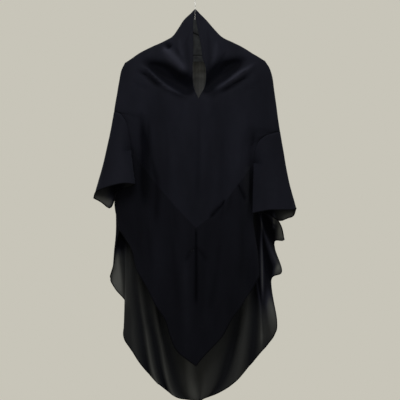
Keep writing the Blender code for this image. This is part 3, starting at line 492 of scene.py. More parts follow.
# Soft upright stripes of the lining, as shares of its own tone
LINING_STRIPES = (0.90, 1.10)
# The lined part of the back: its middle and its reach across, and its drops
LINED_MIDDLE = 0.05
LINED_REACH = 0.30
LINED_DROPS = (0.16, 1.15)
STEEL = [(0.46, 0.46, 0.46), (0.66, 0.66, 0.65)]
BEECH = [(0.020, 0.012, 0.008), (0.060, 0.036, 0.022)]
WALL = (0.577, 0.558, 0.485)
FLOOR = (0.60, 0.58, 0.53)

# The room, in metres: the floor's size and height, the height that the lamps point to,
# and the camera's lens, in millimetres, and place
FLOOR_SIZE = 3.2
FLOOR_HEIGHT = -1.75
LIT_HEIGHT = -0.55
LENS = 70
CAMERA = (0.0155, -2.411, -0.6726)

# Each piece of cloth: its node, its name, the size it was cut to, and its flat area
CUTS = [
    ("front_yoke", "yoke_cloth", (0.55, 0.66), 0.22),
    ("front_panel", "lower_front_cloth", (0.44, 0.66), 0.18),
    ("back_panel", "back_cloth", (0.62, 1.25), 0.54),
    ("sleeve_left", "sleeve_left_cloth", (0.30, 0.27), 0.045),
    ("sleeve_right", "sleeve_right_cloth", (0.32, 0.29), 0.056),
]


def place(points):
    """World places of (across, down, deep) shares."""
    p = np.atleast_2d(np.array(points, float))
    return np.column_stack([p[:, 0] * HALF_SPAN, p[:, 2] * FOLD_DEPTH, NECK_END - p[:, 1] * DROP])


def shares_at(points):
    """The across and down shares of world places."""
    return points[:, 0] / HALF_SPAN, (NECK_END - points[:, 2]) / DROP


def level(points):
    """Points of (across, down) with a depth of 0."""
    return [(across, down, 0.0) for across, down in points]


def ease(value, start, end):
    """0 before start, 1 past end, and a smooth rise between them."""
    q = np.clip((np.asarray(value, float) - start) / (end - start), 0, 1)
    return q * q * (3 - 2 * q)


def through(knots, values, at):
    """Values read from the smooth curve through the knots."""
    knots, values, at = (np.array(item, float) for item in (knots, values, at))
    i = np.clip(np.searchsorted(knots, at, side="right") - 1, 0, len(knots) - 2)
    span = (knots[i + 1] - knots[i])[:, None]
    q = (at - knots[i])[:, None] / span
    flat, slopes = (item.reshape(len(knots), -1) for item in (values, np.gradient(values, knots, axis=0)))
    rise = flat[i] * (2 * q**3 - 3 * q**2 + 1) + flat[i + 1] * (3 * q**2 - 2 * q**3)
    bend = slopes[i] * (q**3 - 2 * q**2 + q) + slopes[i + 1] * (q**3 - q**2)
    return rise + bend * span


def way_along(points):
    """Each point's way along the line through them."""
    steps = np.linalg.norm(np.diff(np.array(points, float), axis=0), axis=1)
    return np.concatenate([[0], np.cumsum(steps)])


def shares_of(points):
    """Each point's share of the way along the line through them."""
    way = way_along(points)
    return way / way[-1]


def between(knots, rows, at):
    """The rows of numbers at the knots, read straight between them."""
    return np.column_stack([np.interp(at, knots, column) for column in rows.T])


def along(points, at):
    """Points at shares of the way along the smooth curve through the given points."""
    return through(shares_of(points), points, at)


def crease(across, down, line, width, fades="long"):
    """1 on the line, falling smoothly to 0 beside it and towards its ends."""
    ends = shares_of(line)
    best, where = np.full(across.shape, np.inf), np.zeros(across.shape)
    for (ax, az), (bx, bz), start, end in zip(line, line[1:], ends, ends[1:]):
        dx, dz = bx - ax, bz - az
        q = np.clip(((across - ax) * dx + (down - az) * dz) / (dx * dx + dz * dz), 0, 1)
        far = np.hypot(across - ax - q * dx, down - az - q * dz)
        where = np.where(far < best, start + q * (end - start), where)
        best = np.minimum(far, best)
    width = width * (CREASE_START + (1 - CREASE_START) * ease(where, 0, CREASE_WIDE))
    risen, falling = FADES[fades]
    return np.exp(-((best / width) ** 2)) * ease(where, 0, risen) * (1 - ease(where, falling, 1))


def creases(across, down, table):
    """The table's creases together, each (depth, width, line) and perhaps its fades."""
    return sum(fold[0] * crease(across, down, fold[2], fold[1], *fold[3:]) for fold in table)


def swell(table, down):
    """How far the cloth stands off at its middle, at these drops."""
    return through(*zip(*table), down)[:, 0]


def front_depth(across, down, side, share):
    """How deep the front lies: negative, towards the viewer."""
    start, full = FRONT_GROOVE[side]
    inwards = np.sign(full - start)
    beside_sleeve = ease(across * inwards, start * inwards, full * inwards)
    low = ease(down, *GROOVE_DROPS)
    stand = (1 - low) * share * (2 - share) + low * beside_sleeve
    return -REST - (swell(FRONT_SWELL, down) - REST) * stand


def folds_depth(across, down, from_edge):
    """How much deeper the creases of the front lie, calm beside its edge."""
    large, small = creases(across, down, FRONT_FOLDS), creases(across, down, SMALL_FOLDS)
    return large * ease(from_edge, *LARGE_CALM) + small * ease(from_edge, *SMALL_CALM)


def row_shares(count, start_close=False, end_close=False):
    """Even shares of a part of the edge, with more rows close beside a seam."""
    shares = set(np.linspace(0, 1, count + 1))
    if start_close:
        shares |= set(CLOSE_ROWS)
    if end_close:
        shares |= {1 - share for share in CLOSE_ROWS}
    return np.array(sorted(shares))


SLEEVE_ROWS = row_shares(ROWS_SLEEVE, end_close=True)
ARMHOLE_ROWS = row_shares(ROWS_ARMHOLE, end_close=True)
# The parts of the edge: the shares of their rows, and the stations between them
PART_ROWS = [
    row_shares(ROWS_HOOD),
    row_shares(ROWS_CHEST),
    ARMHOLE_ROWS,
    row_shares(ROWS_SIDE, start_close=True),
    row_shares(ROWS_HEM, end_close=True),
]
ENDS = (0, AT_COWL, AT_ARMHOLE, AT_ARMPIT, AT_SIDE, AT_HEM)
PARTS = list(zip(ENDS, ENDS[1:]))
STATIONS = np.concatenate([a + (b - a) * rows[:-1] for (a, b), rows in zip(PARTS, PART_ROWS)] + [[AT_HEM]])


def edge_curves(side, half):
    """The curves of the garment's edge, from the neck to the hem."""
    armhole, hem = (ARMHOLE_FRONT, FRONT_HEM) if half == "front" else (ARMHOLE_BACK, BACK_HEM)
    shoulder, turn = level(SHOULDER[side]), COWL_AT[side]
    return [shoulder[: turn + 1], shoulder[turn:], armhole[side], SIDE[side], hem[side]]


def at_rows(curves):
    """The points of the curves at every row."""
    points = [along(curve, shares[:-1]) for curve, shares in zip(curves, PART_ROWS)]
    return np.vstack(points + [along(curves[-1], [1.0])])


def skirt_level(station):
    """The share of the skirt's drop that a station is at, counted from the armpit's."""
    return np.interp(station, [AT_ARMPIT, AT_SIDE, AT_HEM], [0, SIDE_LEVEL, 1])


def turn_radius(station):
    """How soon, in metres from the edge, a row has turned over to the front or back."""
    ends = [AT_ARMHOLE, AT_ARMHOLE + 1, AT_ARMPIT - 1, AT_ARMPIT, AT_SIDE, AT_SIDE + 1]
    return WRAP * np.interp(station, ends, [1, 3, 3, 1, 1, 3])


def seam_turn(station):
    """The cloth's depth beside its edge: less where it turns over at an armhole."""
    ends = [AT_ARMHOLE, AT_ARMHOLE + 1, AT_ARMPIT, AT_ARMPIT + 1]
    return np.interp(station, ends, [REST, SEAM_TURN, SEAM_TURN, REST])


def sample_shares(wrap_share):
    """Where a row's points lie: closer in the turn at its edge, then evenly."""
    angles = np.linspace(0, math.pi / 2, COLUMNS_TURN + 1)[1:]
    turn = min(wrap_share, 0.5) * (1 - np.cos(angles))
    rest = turn[-1] + (1 - turn[-1]) * np.arange(1, COLUMNS + 1) / COLUMNS
    return np.concatenate([[0], turn, rest])


def turned(inward, radius):
    """0 on the edge and 1 from the radius inwards, as a round turn rises."""
    return np.sqrt(1 - (1 - np.clip(inward / radius, 0, 1)) ** 2)


def inward_normals(side, half):
    """The unit normals of the garment's edge at every row, in its plane."""
    curves = edge_curves(side, half)
    edge = [along(curve, np.arange(b - a) / (b - a)) for curve, (a, b) in zip(curves, PARTS)]
    flat = place(np.vstack(edge + [along(curves[-1], [1.0])]))[:, [0, 2]]
    run = np.gradient(flat, axis=0) * SIGN[side]
    normals = unit(np.column_stack([run[:, 1], -run[:, 0]]))
    return unit(between(np.arange(len(flat)), normals, STATIONS))


def bow(curves, at):
    """How far a row bows off its straight line: the weighted sum of the curves' bows."""
    total = np.zeros((len(at), 2))
    for curve, weight in curves:
        p = np.array(curve, float)
        total += (through(shares_of(p), p, at) - p[0] - (p[-1] - p[0]) * at[:, None]) * weight
    return total


def surface_row(side, half, station, edge, normal, middle, curves):
    """One row of the front or of the upper back, from the edge to the middle line: its
    points, their shares and how far its folds stand proud."""
    flat = place([edge, middle])[:, [0, 2]]
    length = float(np.linalg.norm(flat[1] - flat[0]))
    radius = min(turn_radius(station), TURN_MOST * length)
    slope = max(SLOPE_LEAST, float((flat[1] - flat[0]) @ normal) / length)
    shares = sample_shares(radius / slope / length)
    points = edge + (middle - edge) * shares[:, None]
    points[:, :2] += bow(curves, shares)
    w = turned(shares * length * slope, radius)
    folds = np.zeros(len(shares))
    if half == "front":
        folds = folds_depth(points[:, 0], points[:, 1], shares * length)
        deep = np.minimum(front_depth(points[:, 0], points[:, 1], side, shares) + folds, -REST)
    else:
        deep = REST + (swell(BACK_SWELL, points[:, 1]) - REST) * shares * (2 - shares)
    near = edge[2] + SIGN[half] * (seam_turn(station) - REST)
    deep = deep + near * (1 - ease(shares * length, 0, EDGE_FADE))
    points[:, 2] = deep + (edge[2] - deep[0]) * (1 - w / w[-1])
    return points, shares, -folds * FOLD_DEPTH


def front_rows(side):
    """Every row of the front's half."""
    edge, normals = at_rows(edge_curves(side, "front")), inward_normals(side, "front")
    middle = at_rows([level(line) for line in (SLIT[side], *FRONT_MIDDLE)])
    rows = []
    for station, start, normal, end in zip(STATIONS, edge, normals, middle):
        low = skirt_level(station) ** 2
        curves = [(V_SEAM[side], 1 - low), (V_HEM[side], low)]
        if station <= AT_ARMPIT:
            curves = [(V_SEAM[side], (station / AT_ARMPIT) ** 4)]
        rows.append(surface_row(side, "front", station, start, normal, end, curves))
    return rows


def back_rows(side):
    """Every row of the back's half."""
    edge, normals = at_rows(edge_curves(side, "back")), inward_normals(side, "back")
    rows = []
    for station, start, normal in zip(STATIONS, edge, normals):
        if station > AT_ARMPIT:
            break
        stations = [0, AT_ARMHOLE, AT_ARMPIT]
        end = np.array([*(np.interp(station, stations, column) for column in zip(*BACK_MIDDLE)), 0.0])
        rows.append(surface_row(side, "back", station, start, normal, end, []))
    seat, seat_shares, _ = rows[-1]
    shares = fold_shares(side)
    seated = between(seat_shares, seat, shares)
    first = back_skirt_row(side, seat[0], seat, shares, 0.0)
    for station, start in zip(STATIONS[len(rows) :], edge[len(rows) :]):
        points = back_skirt_row(side, start, seat, shares, skirt_level(station))
        settling = (1 - ease(station, AT_ARMPIT, AT_ARMPIT + 2)) * ease(shares, 0, 0.02)
        points += (seated - first) * settling[:, None]
        proud = standing_proud(points) * ease(station, AT_ARMPIT, AT_ARMPIT + 4)
        rows.append((points, shares, proud))
    return rows


def standing_proud(points):
    """How far, in metres, a skirt row's points stand behind the row's own mean run, as
    if the row went on past the middle as its own mirror image."""
    flat = place(points)
    way = way_along(flat)
    near = sum(np.exp(-(((way[:, None] - there) / RELIEF_REACH) ** 2)) for there in (way, 2 * way[-1] - way))
    return flat[:, 1] - near @ flat[:, 1] / near.sum(axis=1)


def fold_shares(side):
    """The shares of a skirt row's points: on each fold, and evenly between folds."""
    folds = [0.0] + [fold[0] for fold in BACK_FOLDS[side]] + [1.0]
    hems = place([BACK_HEM[side][-1]] + [fold[3] for fold in BACK_FOLDS[side]] + [BACK_TIP[2]])
    shares = []
    for start, end, a, b in zip(folds, folds[1:], hems, hems[1:]):
        wide = max(float(np.linalg.norm(b - a)), (end - start) * HALF_SPAN / 1.5)
        count = max(2, round(wide / SPACING_FOLD))
        shares += [start + (end - start) * step / count for step in range(count)]
    return np.array(shares + [1.0])


def back_skirt_row(side, edge, seat, shares, drop):
    """A row of the back's skirt, through its folds at one share of their drop."""
    start, end = seat[0], seat[-1]
    folds = BACK_FOLDS[side] + [(1.0, *BACK_TIP)]
    points = [edge]
    for share, half, low, hem in folds:
        top = start + (end - start) * share
        top_deep = np.interp(share, SEAT_SHARES, [start[2], *SEAT_DEPTHS, end[2]])
        places = [(top[0], top_deep), half, low, (hem[0], hem[2])]
        across, deep = through([0, 0.5, 0.8, 1], places, [drop])[0]
        points.append((across, top[1] + (hem[1] - top[1]) * drop, deep))
    points = through([0.0] + [fold[0] for fold in folds], points, shares)
    last = folds[SKIRT_TURN[side] :]
    outward = SIGN[side] * points[:, 0]
    across, down = np.array(sorted((SIGN[side] * fold[3][0], fold[3][1]) for fold in last)).T
    hem = through(across, down, np.clip(outward, across[0], across[-1]))[:, 0]
    hem += (hem - HEM_EYE) * HEM_SINK * (points[:, 2] - HEM_DEEP)
    at_hem = (outward < across[-1]) & (shares >= last[0][0])
    at_hem = ease(drop, 0.75, 1) * at_hem * (1 - ease(shares, 0.55, 1))
    points[:, 1] += (hem - points[:, 1]) * at_hem
    return points


def sleeve_wall(side, half):
    """Rows of a sleeve's front or back wall, from its outer fold inwards to the armhole,
    and below the armpit to its inner fold."""
    armhole, cuff = (ARMHOLE_FRONT, CUFF_FRONT) if half == "front" else (ARMHOLE_BACK, CUFF_BACK)
    below_armpit = along(INNER_FOLD[side], SLEEVE_ROWS)
    inner = np.vstack([along(armhole[side], ARMHOLE_ROWS[:-1]), below_armpit])
    seam = along(ARMHOLE_FRONT[side], ARMHOLE_ROWS[:-1])
    levels = shares_of(np.vstack([seam, below_armpit])[:, :2])
    outer = along(OUTER_FOLD[side], levels)
    hem = np.array(cuff[side], float)
    at = (1 - np.cos(np.pi * np.arange(COLUMNS_SLEEVE + 1) / COLUMNS_SLEEVE)) / 2
    bowed = along(hem, at) - (hem[0] + (hem[-1] - hem[0]) * at[:, None])
    rows = [(inner[:1], np.zeros(1), np.zeros(1))]
    for start, end, down in zip(outer[1:], inner[1:], levels[1:]):
        length = float(np.linalg.norm(place(end)[0] - place(start)[0]))
        points = start + (end - start) * at[:, None] + bowed * down**2
        seam_deep = SLEEVE_SEAM[half] * (1 - down) + hem[-1][2] * down
        points[:, 2] += (seam_deep - end[2]) * at * ease((1 - at) * length, 0, SLEEVE_FADE)
        puff = turned(at * length, SLEEVE_TURN) * turned((1 - at) * length, SLEEVE_TURN)
        points[:, 2] += SIGN[half] * puff * SLEEVE_PUFF[half] * (1 - down)
        rows.append((points, at, np.zeros(len(at))))
    return rows


class Garment:
    """One mesh of the whole cloth, whose faces know the piece that they are cut from."""

    def __init__(self):
        self.index, self.points, self.faces, self.relief = {}, [], {}, []

    def vertex(self, point, proud):
        key = tuple(np.round(point * 1e6).astype(int))
        if key not in self.index:
            self.index[key] = len(self.points)
            self.points.append(point)
            self.relief.append(proud)
        return self.index[key]

    def strip(self, piece, upper, lower, flip):
        """Faces between two rows, each (points, shares, relief)."""
        a, b = ([self.vertex(*spot) for spot in zip(place(row[0]), row[2])] for row in (upper, lower))
        ends_a, ends_b, found = upper[1], lower[1], []
        if len(a) == len(b):
            found = [(a[i], a[i + 1], b[i + 1], b[i]) for i in range(len(a) - 1)]
            i = j = len(a) - 1
        else:
            i = j = 0
        while i < len(a) - 1 or j < len(b) - 1:
            if j == len(b) - 1 or (i < len(a) - 1 and ends_a[i + 1] <= ends_b[j + 1]):
                found.append((a[i], a[i + 1], b[j]))
                i += 1
            else:
                found.append((a[i], b[j + 1], b[j]))
                j += 1
        for face in found:
            face = tuple(dict.fromkeys(face))
            if len(face) > 2:
                self.faces.setdefault(piece, []).append(face[::-1] if flip else face)

    def used(self, piece):
        """The points of a piece, in order."""
        return sorted({v for face in self.faces[piece] for v in face})

    def shared(self):
        """Whether each point belongs to more than one piece."""
        count = np.zeros(len(self.points), int)
        for piece in self.faces:
            count[self.used(piece)] += 1
        return count > 1


def whole_garment():
    """The cloth of both sides, front, back and sleeves."""
    garment = Garment()
    for side, mirrored in (("left", False), ("right", True)):
        front, back = front_rows(side), back_rows(side)
        for station, upper, lower in zip(STATIONS, front, front[1:]):
            piece = "front_yoke" if station < AT_ARMPIT else "front_panel"
            garment.strip(piece, upper, lower, not mirrored)
        for upper, lower in zip(back, back[1:]):
            garment.strip("back_panel", upper, lower, mirrored)
        for half, flip in (("front", not mirrored), ("back", mirrored)):
            wall = sleeve_wall(side, half)
            for upper, lower in zip(wall, wall[1:]):
                garment.strip(f"sleeve_{side}", upper, lower, flip)
    return garment


def unit(vectors):
    """The vectors, each made one metre long."""
    return vectors / np.maximum(np.linalg.norm(vectors, axis=-1, keepdims=True), TINY)


def unit_normals(points, faces):
    """Area-weighted unit normals of the points."""
    p = np.asarray(points)
    f = np.array([face if len(face) == 4 else face + face[-1:] for face in faces])
    cross = np.cross(p[f[:, 2]] - p[f[:, 0]], p[f[:, 3]] - p[f[:, 1]])
    total = np.zeros_like(p)
    for corner in range(4):
        np.add.at(total, f[:, corner], cross)
    return unit(total)


def wave(point, across, down, seed):
    """Smooth noise from -1 to 1, stretched down the cloth."""
    x, y, z = point
    return noise.noise(Vector((x * across + seed, y * across, z * down)))


def loosen(garment):
    """Moves the points along their normals: soft waves, puckers, and sunk seams."""
    points = np.array(garment.points)
    normals = unit(sum(unit_normals(points, garment.faces[piece]) for piece in sorted(garment.faces)))
    across, down = shares_at(points)
    beside_v = sum(crease(across, down, line, PUCKER_REACH) for line in V_SEAM.values())
    seams = garment.shared()
    calm = ease(down, *WAVES_FROM)
    for i, point in enumerate(points):
        lift = 0
        for number, (high, wide, tall) in enumerate(WAVES):
            lift += high * wave(point, wide, tall, number * WAVE_SEED) * calm[i]
        if beside_v[i] > 0.02:
            lift += PUCKER * beside_v[i] * wave(point, PUCKER_WAVES, PUCKER_WAVES / 4, PUCKER_SEED)
        # The waves' lift also goes into the relief that the crepe paints as shade and highlights
        garment.relief[i] += lift
        if seams[i]:
            lift -= SEAM_SUNK * (1 + 0.5 * wave(point, PUCKER_WAVES, PUCKER_WAVES, SEAM_SEED))
        points[i] = point + normals[i] * lift
    garment.points = points


def walled(faces, count):
    """The faces of a closed wall over a sheet of so many points, and those on its rim."""
    beside = {(a, b): face for face in faces for a, b in zip(face, face[1:] + face[:1])}
    rim = {edge: face for edge, face in beside.items() if edge[::-1] not in beside}
    solid = faces + [tuple(v + count for v in face[::-1]) for face in faces]
    return solid + [(b, a, a + count, b + count) for a, b in rim], rim


def thick_piece(garment, piece, name):
    """The piece as a closed wall with its hems rolled, and its hems' lines with the way
    inwards: the outside's faces have material 0, the wrong side's 1 and the rim's 2."""
    used = garment.used(piece)
    number = {v: i for i, v in enumerate(used)}
    faces = [tuple(number[v] for v in face) for face in garment.faces[piece]]
    p, shared, count = garment.points[used], garment.shared()[used], len(used)
    n = unit_normals(p, faces)
    solid, rim = walled(faces, count)
    pull = np.zeros_like(p)
    for (a, b), face in rim.items():
        apex = next(v for v in face if v not in (a, b))
        run = unit(p[b] - p[a])
        pull[[a, b]] += unit(p[apex] - p[a] - run * ((p[apex] - p[a]) @ run))
    pull = unit(pull)
    p += pull * SEAM_BACK * shared[:, None]
    points = [p + n * CLOTH / 2, p - n * CLOTH / 2]
    hems = chains([(a, b) for a, b in rim if not (shared[a] and shared[b])])
    for line in hems:
        ring, ring_faces = tube(p[line], HEM_ROLL.get(name, HEM_ROLL_ELSEWHERE), HEM_SIDES)
        base = sum(map(len, points))
        points.append(ring)
        solid += [tuple(v + base for v in face) for face in ring_faces]
    obj = add_mesh(name, np.vstack(points), solid, 50)
    marks = np.full(len(solid), 2)
    marks[: 2 * len(faces)] = np.repeat([0, 1], len(faces))
    obj.data.polygons.foreach_set("material_index", marks)
    # Numbers per point that the crepe paints as light and shade: the relief of the folds, turned over on the
    # wrong side with its painted highlights added, and how fully the painted shade inside the side seams
    # covers it
    relief, nothing = np.array(garment.relief)[used], np.zeros(count)
    glint, side_shade_cover = (creases(*shares_at(points[1]), table) for table in (GLINTS, PAINTED_SIDE_SHADE))
    shares = {"relief": [relief, glint - relief], "side_shade_cover": [nothing, np.clip(side_shade_cover, 0, 1)]}
    for shown, halves in shares.items():
        values = np.zeros(len(obj.data.vertices), np.float32)
        values[: 2 * count] = np.concatenate(halves)
        obj.data.attributes.new(shown, "FLOAT", "POINT").data.foreach_set("value", values)
    return obj, [(p[line], pull[line]) for line in hems]


def chains(edges):
    """Joins edges end to end into lines of points."""
    following, lines, seen = dict(edges), [], set()
    ends = set(following.values())
    for start in [a for a in following if a not in ends] + sorted(following):
        if start in seen:
            continue
        line = [start]
        seen.add(start)
        while following.get(line[-1], start) not in seen:
            line.append(following[line[-1]])
            seen.add(line[-1])
        if following.get(line[-1]) == start:
            line.append(start)
        if len(line) > 2:
            lines.append(line)
    return lines


def rings(count, sides):
    """The faces of a closed tube of rings, with its two ends."""
    starts = [(s * sides, i, (i + 1) % sides) for s in range(count - 1) for i in range(sides)]
    faces = [(s + i, s + j, s + sides + j, s + sides + i) for s, i, j in starts]
    return faces + [tuple(range(sides))[::-1], tuple(range((count - 1) * sides, count * sides))]


def tube(path, radius, sides):
    """A round tube along a path: its points and faces."""
    run = unit(np.gradient(path, axis=0))
    up = np.cross(run[0], TUBE_START)
    points = []
    for spot, ahead in zip(path, run):
        up = unit(up - ahead * (up @ ahead))
        side = np.cross(ahead, up)
        for angle in np.linspace(0, 2 * math.pi, sides, endpoint=False):
            points.append(spot + radius * (up * math.cos(angle) + side * math.sin(angle)))
    return np.array(points), rings(len(path), sides)


def add(name, data, spot=(0, 0, 0)):
    obj = bpy.data.objects.new(name, data)
    obj.location = spot
    bpy.context.collection.objects.link(obj)
    return obj


def add_mesh(name, points, faces, sharp):
    """A mesh that is smooth but for edges sharper than an angle, in degrees."""
    mesh = bpy.data.meshes.new(name)
    mesh.from_pydata([tuple(p) for p in points], [], faces)
    mesh.shade_smooth()
    mesh.set_sharp_from_angle(angle=math.radians(sharp))
    return add(name, mesh)


def stitches(name, mesh, hems):
    """A line of stitches on the cloth, a little in from each hem."""
    tree = BVHTree.FromPolygons([v.co for v in mesh.vertices], [tuple(f.vertices) for f in mesh.polygons])
    points, faces = [], []
    for line, inward in hems:
        steps = way_along(line)
        start = STITCH
        while start + STITCH < steps[-1]:
            ends = []
            for distance in (start, start + STITCH):
                spot, way = (between(steps, part, [distance])[0] for part in (line, inward))
                found = tree.find_nearest(Vector(spot + unit(way) * STITCH_IN))
                ends += [np.array(found[0]), np.array(found[1])]
            start += STITCH + STITCH_GAP
            a, normal, b, normal_b = ends
            if np.linalg.norm(b - a) < STITCH / 2 or normal @ normal_b < 0.5:
                continue
            across = unit(np.cross(unit(b - a), normal)) * STITCH_WIDE / 4
            base = len(points)
            for share, wide, high in STITCH_SHAPE:
                for out, lift in ((-2, -1), (-1, high), (1, high), (2, -1)):
                    points.append(a + (b - a) * share + across * wide * out + normal * STITCH_HIGH * lift)
            for v in (0, 1, 2, 4, 5, 6, 8, 9, 10):
                faces.append((base + v, base + v + 1, base + v + 5, base + v + 4))
    return add_mesh(name, points, faces, 60)


def bell(value, middle, wide):
    """1 at the middle, falling smoothly to 0 beside it."""
    return math.exp(-(((value - middle) / wide) ** 2))


def brow_band():
    """The knit strip over the brow: a pleat, a soft bulge, a tuck and a sewn hem."""
    spots = []
    for down in np.linspace(BAND_TOP, BAND_HEM, BAND_ROWS + 1):
        left, right = (through(*np.array(SLIT[side]).T[::-1], [down])[0, 0] for side in SLIT)
        tucked = BAND_TUCKED * min(1, 2 * down)
        for across in np.linspace(left - tucked, right + tucked, BAND_COLUMNS + 1):
            under = max(left - across, across - right, 0) / tucked
            share = np.clip((across - left) / (right - left), 0, 1)
            pleat = BAND_PLEAT[0] + (BAND_PLEAT[1] - BAND_PLEAT[0]) * share
            fold = PLEAT_LINE * bell(down, pleat + PLEAT_WIDE, PLEAT_WIDE)
            fold -= PLEAT_HIGH * ease(down, BAND_TOP, pleat) * (down <= pleat)
            fold -= BULGE_HIGH * bell(down, *BULGE_AT) * math.sin(math.pi * share)
            fold -= TUCK_HIGH * ease(down, *TUCK_AT) * (down < BAND_STITCH)
            fold -= HEM_STEP * ease(down, BAND_STITCH - HEM_STEP, BAND_STITCH + HEM_STEP)
            fold += HEM_LINE * bell(down, BAND_STITCH, HEM_LINE / 2)
            deep = BAND_BEHIND / FOLD_DEPTH - swell(FRONT_SWELL, [down])[0] + BAND_DROP * under
            spots.append((across, down, deep + fold * (1 - ease(under, 0, 0.4))))
    middle, wide = place(spots), BAND_COLUMNS + 1
    corners = [row * wide + column for row in range(BAND_ROWS) for column in range(BAND_COLUMNS)]
    faces, _ = walled([(v, v + wide, v + wide + 1, v + 1) for v in corners], len(middle))
    half = np.array([0, CLOTH / 2, 0])
    return add_mesh("brow_band_cloth", np.vstack([middle - half, middle + half]), faces, 50)


def hook_path():
    """The wire's middle line: up its neck, a bend outwards, and round over the rail."""
    foot = NECK_END - ARM_MIDDLE[1] * DROP + BAR_DEEP / 2 + BUTT_GAP
    start = math.atan2(NECK_END + HOOK_INSIDE, NECK_BEND)
    last = foot + (NECK_END - foot) * NECK_SHARE
    points = [(0.0, 0.0, height) for height in np.linspace(foot, last, WIRE_POINTS[0])]
    for angle in np.linspace(math.pi, math.pi + start, WIRE_POINTS[1]):
        points.append((NECK_BEND * (1 + math.cos(angle)), 0.0, NECK_END + NECK_BEND * math.sin(angle)))
    for angle in np.linspace(start, math.radians(HOOK_END), WIRE_POINTS[2])[1:]:
        points.append((HOOK_RADIUS * math.cos(angle), 0.0, HOOK_RADIUS * math.sin(angle) - HOOK_INSIDE))
    return np.array(points)


def hanger_hook():
    obj = add_mesh("hook_wire", *tube(hook_path(), WIRE / 2, WIRE_SIDES), 40)
    bevel = obj.modifiers.new("round ends", "BEVEL")
    bevel.width = WIRE * 0.3
    bevel.segments = 3
    bevel.limit_method = "ANGLE"
    bevel.angle_limit = math.radians(60)
    return obj


def flat_place(across, down):
    """A spot's world place in the garment's plane."""
    return place((across, down, 0))[0][[0, 2]]


def arm_line(side):
    """One arm's middle line: places, the way to the arm's underside, and its size."""
    edge = at_rows(edge_curves(side, "front"))
    line = []
    for station, point, normal in zip(STATIONS, edge, inward_normals(side, "front")):
        if station <= AT_COWL + TIP_ROWS and abs(point[0]) >= ARM_SHARE:
            slim = 1 - (1 - TIP_SLIM) * ease(station, AT_COWL, AT_COWL + 1)
            line.append((flat_place(*point[:2]) + normal * WRAP, normal, slim))
    inner = flat_place(SIGN[side] * ARM_INNER[0], ARM_INNER[1])
    slope = unit(line[0][0] - inner) * SIGN[side]
    return [(inner, np.array([slope[1], -slope[0]]), 1.0)] + line


def hanger_bar():
    """The hanger's arms, from tip to tip, close under the cloth of the shoulders."""
    middle = (flat_place(*ARM_MIDDLE), np.array([0.0, -1.0]), 1.0)
    line = arm_line("left")[::-1] + [middle] + arm_line("right")
    points = []
    for spot, under, scale in line:
        radius = scale * BAR_DEEP / 2
        for step in range(BAR_SIDES):
            angle = 2 * math.pi * (step + 0.5) / BAR_SIDES
            out, deep = math.sin(angle) * radius, math.cos(angle) * radius
            flat = spot + under * ((0 if out > 0 else BAR_TALL - BAR_DEEP) - out)
            points.append((flat[0], deep, flat[1]))
    return add_mesh("bar_beech", points, rings(len(line), BAR_SIDES), 40)


class Look:
    """A material in the making: its nodes, and links by short calls."""

    def __init__(self, name):
        self.material = bpy.data.materials.new(name)
        self.material.use_nodes = True
        self.tree = self.material.node_tree
        self.places = self.tree.nodes.new("ShaderNodeTexCoord").outputs["Object"]

    def feed(self, node, inputs):
        """Links a node's inputs or sets their values."""
        for key, given in inputs.items():
            if isinstance(given, bpy.types.NodeSocket):
                self.tree.links.new(given, node.inputs[key])
            else:
                node.inputs[key].default_value = given

    def node(self, kind, output, inputs, **values):
        """The output of a new node."""
        made = self.tree.nodes.new(f"ShaderNode{kind}")
        for key, value in values.items():
            setattr(made, key, value)
        self.feed(made, inputs)
        return made.outputs[output]

    def noise(self, scale, detail=2.0, stretch=(1, 1, 1)):
        spot = self.node("Mapping", "Vector", {"Vector": self.places, "Scale": stretch})
        return self.node("TexNoise", "Fac", {"Vector": spot, "Scale": scale, "Detail": detail})

    def wave(self, scale, direction, distortion):
        inputs = {"Vector": self.places, "Scale": scale, "Distortion": distortion}
        return self.node("TexWave", "Fac", inputs, bands_direction=direction)

    def ramp(self, factor, colours, stops=(0.35, 0.65)):
        """A colour that runs through the given ones as the factor passes the stops."""
        shown = self.node("ValToRGB", "Color", {"Fac": factor})
        elements = shown.node.color_ramp.elements
        while len(elements) < len(stops):
            elements.new(0.5)
        for element, stop, colour in zip(elements, stops, colours):
            element.position = stop
            element.color = (*colour, 1)
        return shown

    def attribute(self, name):
        return self.node("Attribute", "Fac", {}, attribute_name=name)

    def times(self, colour, factor):
        return self.node("VectorMath", 0, {0: colour, "Scale": factor}, operation="SCALE")

    def number(self, factor, low, high, start=0, end=1):
        """A number that runs from low to high as the factor goes from start to end."""
        inputs = {"Value": factor, "From Min": start, "From Max": end, "To Min": low, "To Max": high}
        return self.node("MapRange", "Result", inputs)

    def finish(self, colour, rough, bumps, **inputs):
        """The material, with bumps one over the other: (height, distance, strength)."""
        inputs = {key.replace("_", " "): value for key, value in inputs.items()}
        last = {}
        for height, distance, strength in bumps:
            bump = {"Height": height, "Distance": distance, "Strength": strength, **last}
            last = {"Normal": self.node("Bump", "Normal", bump)}
        shader = self.tree.nodes["Principled BSDF"]
        self.feed(shader, {"Base Color": colour, "Roughness": rough, **inputs, **last})
        return self.material


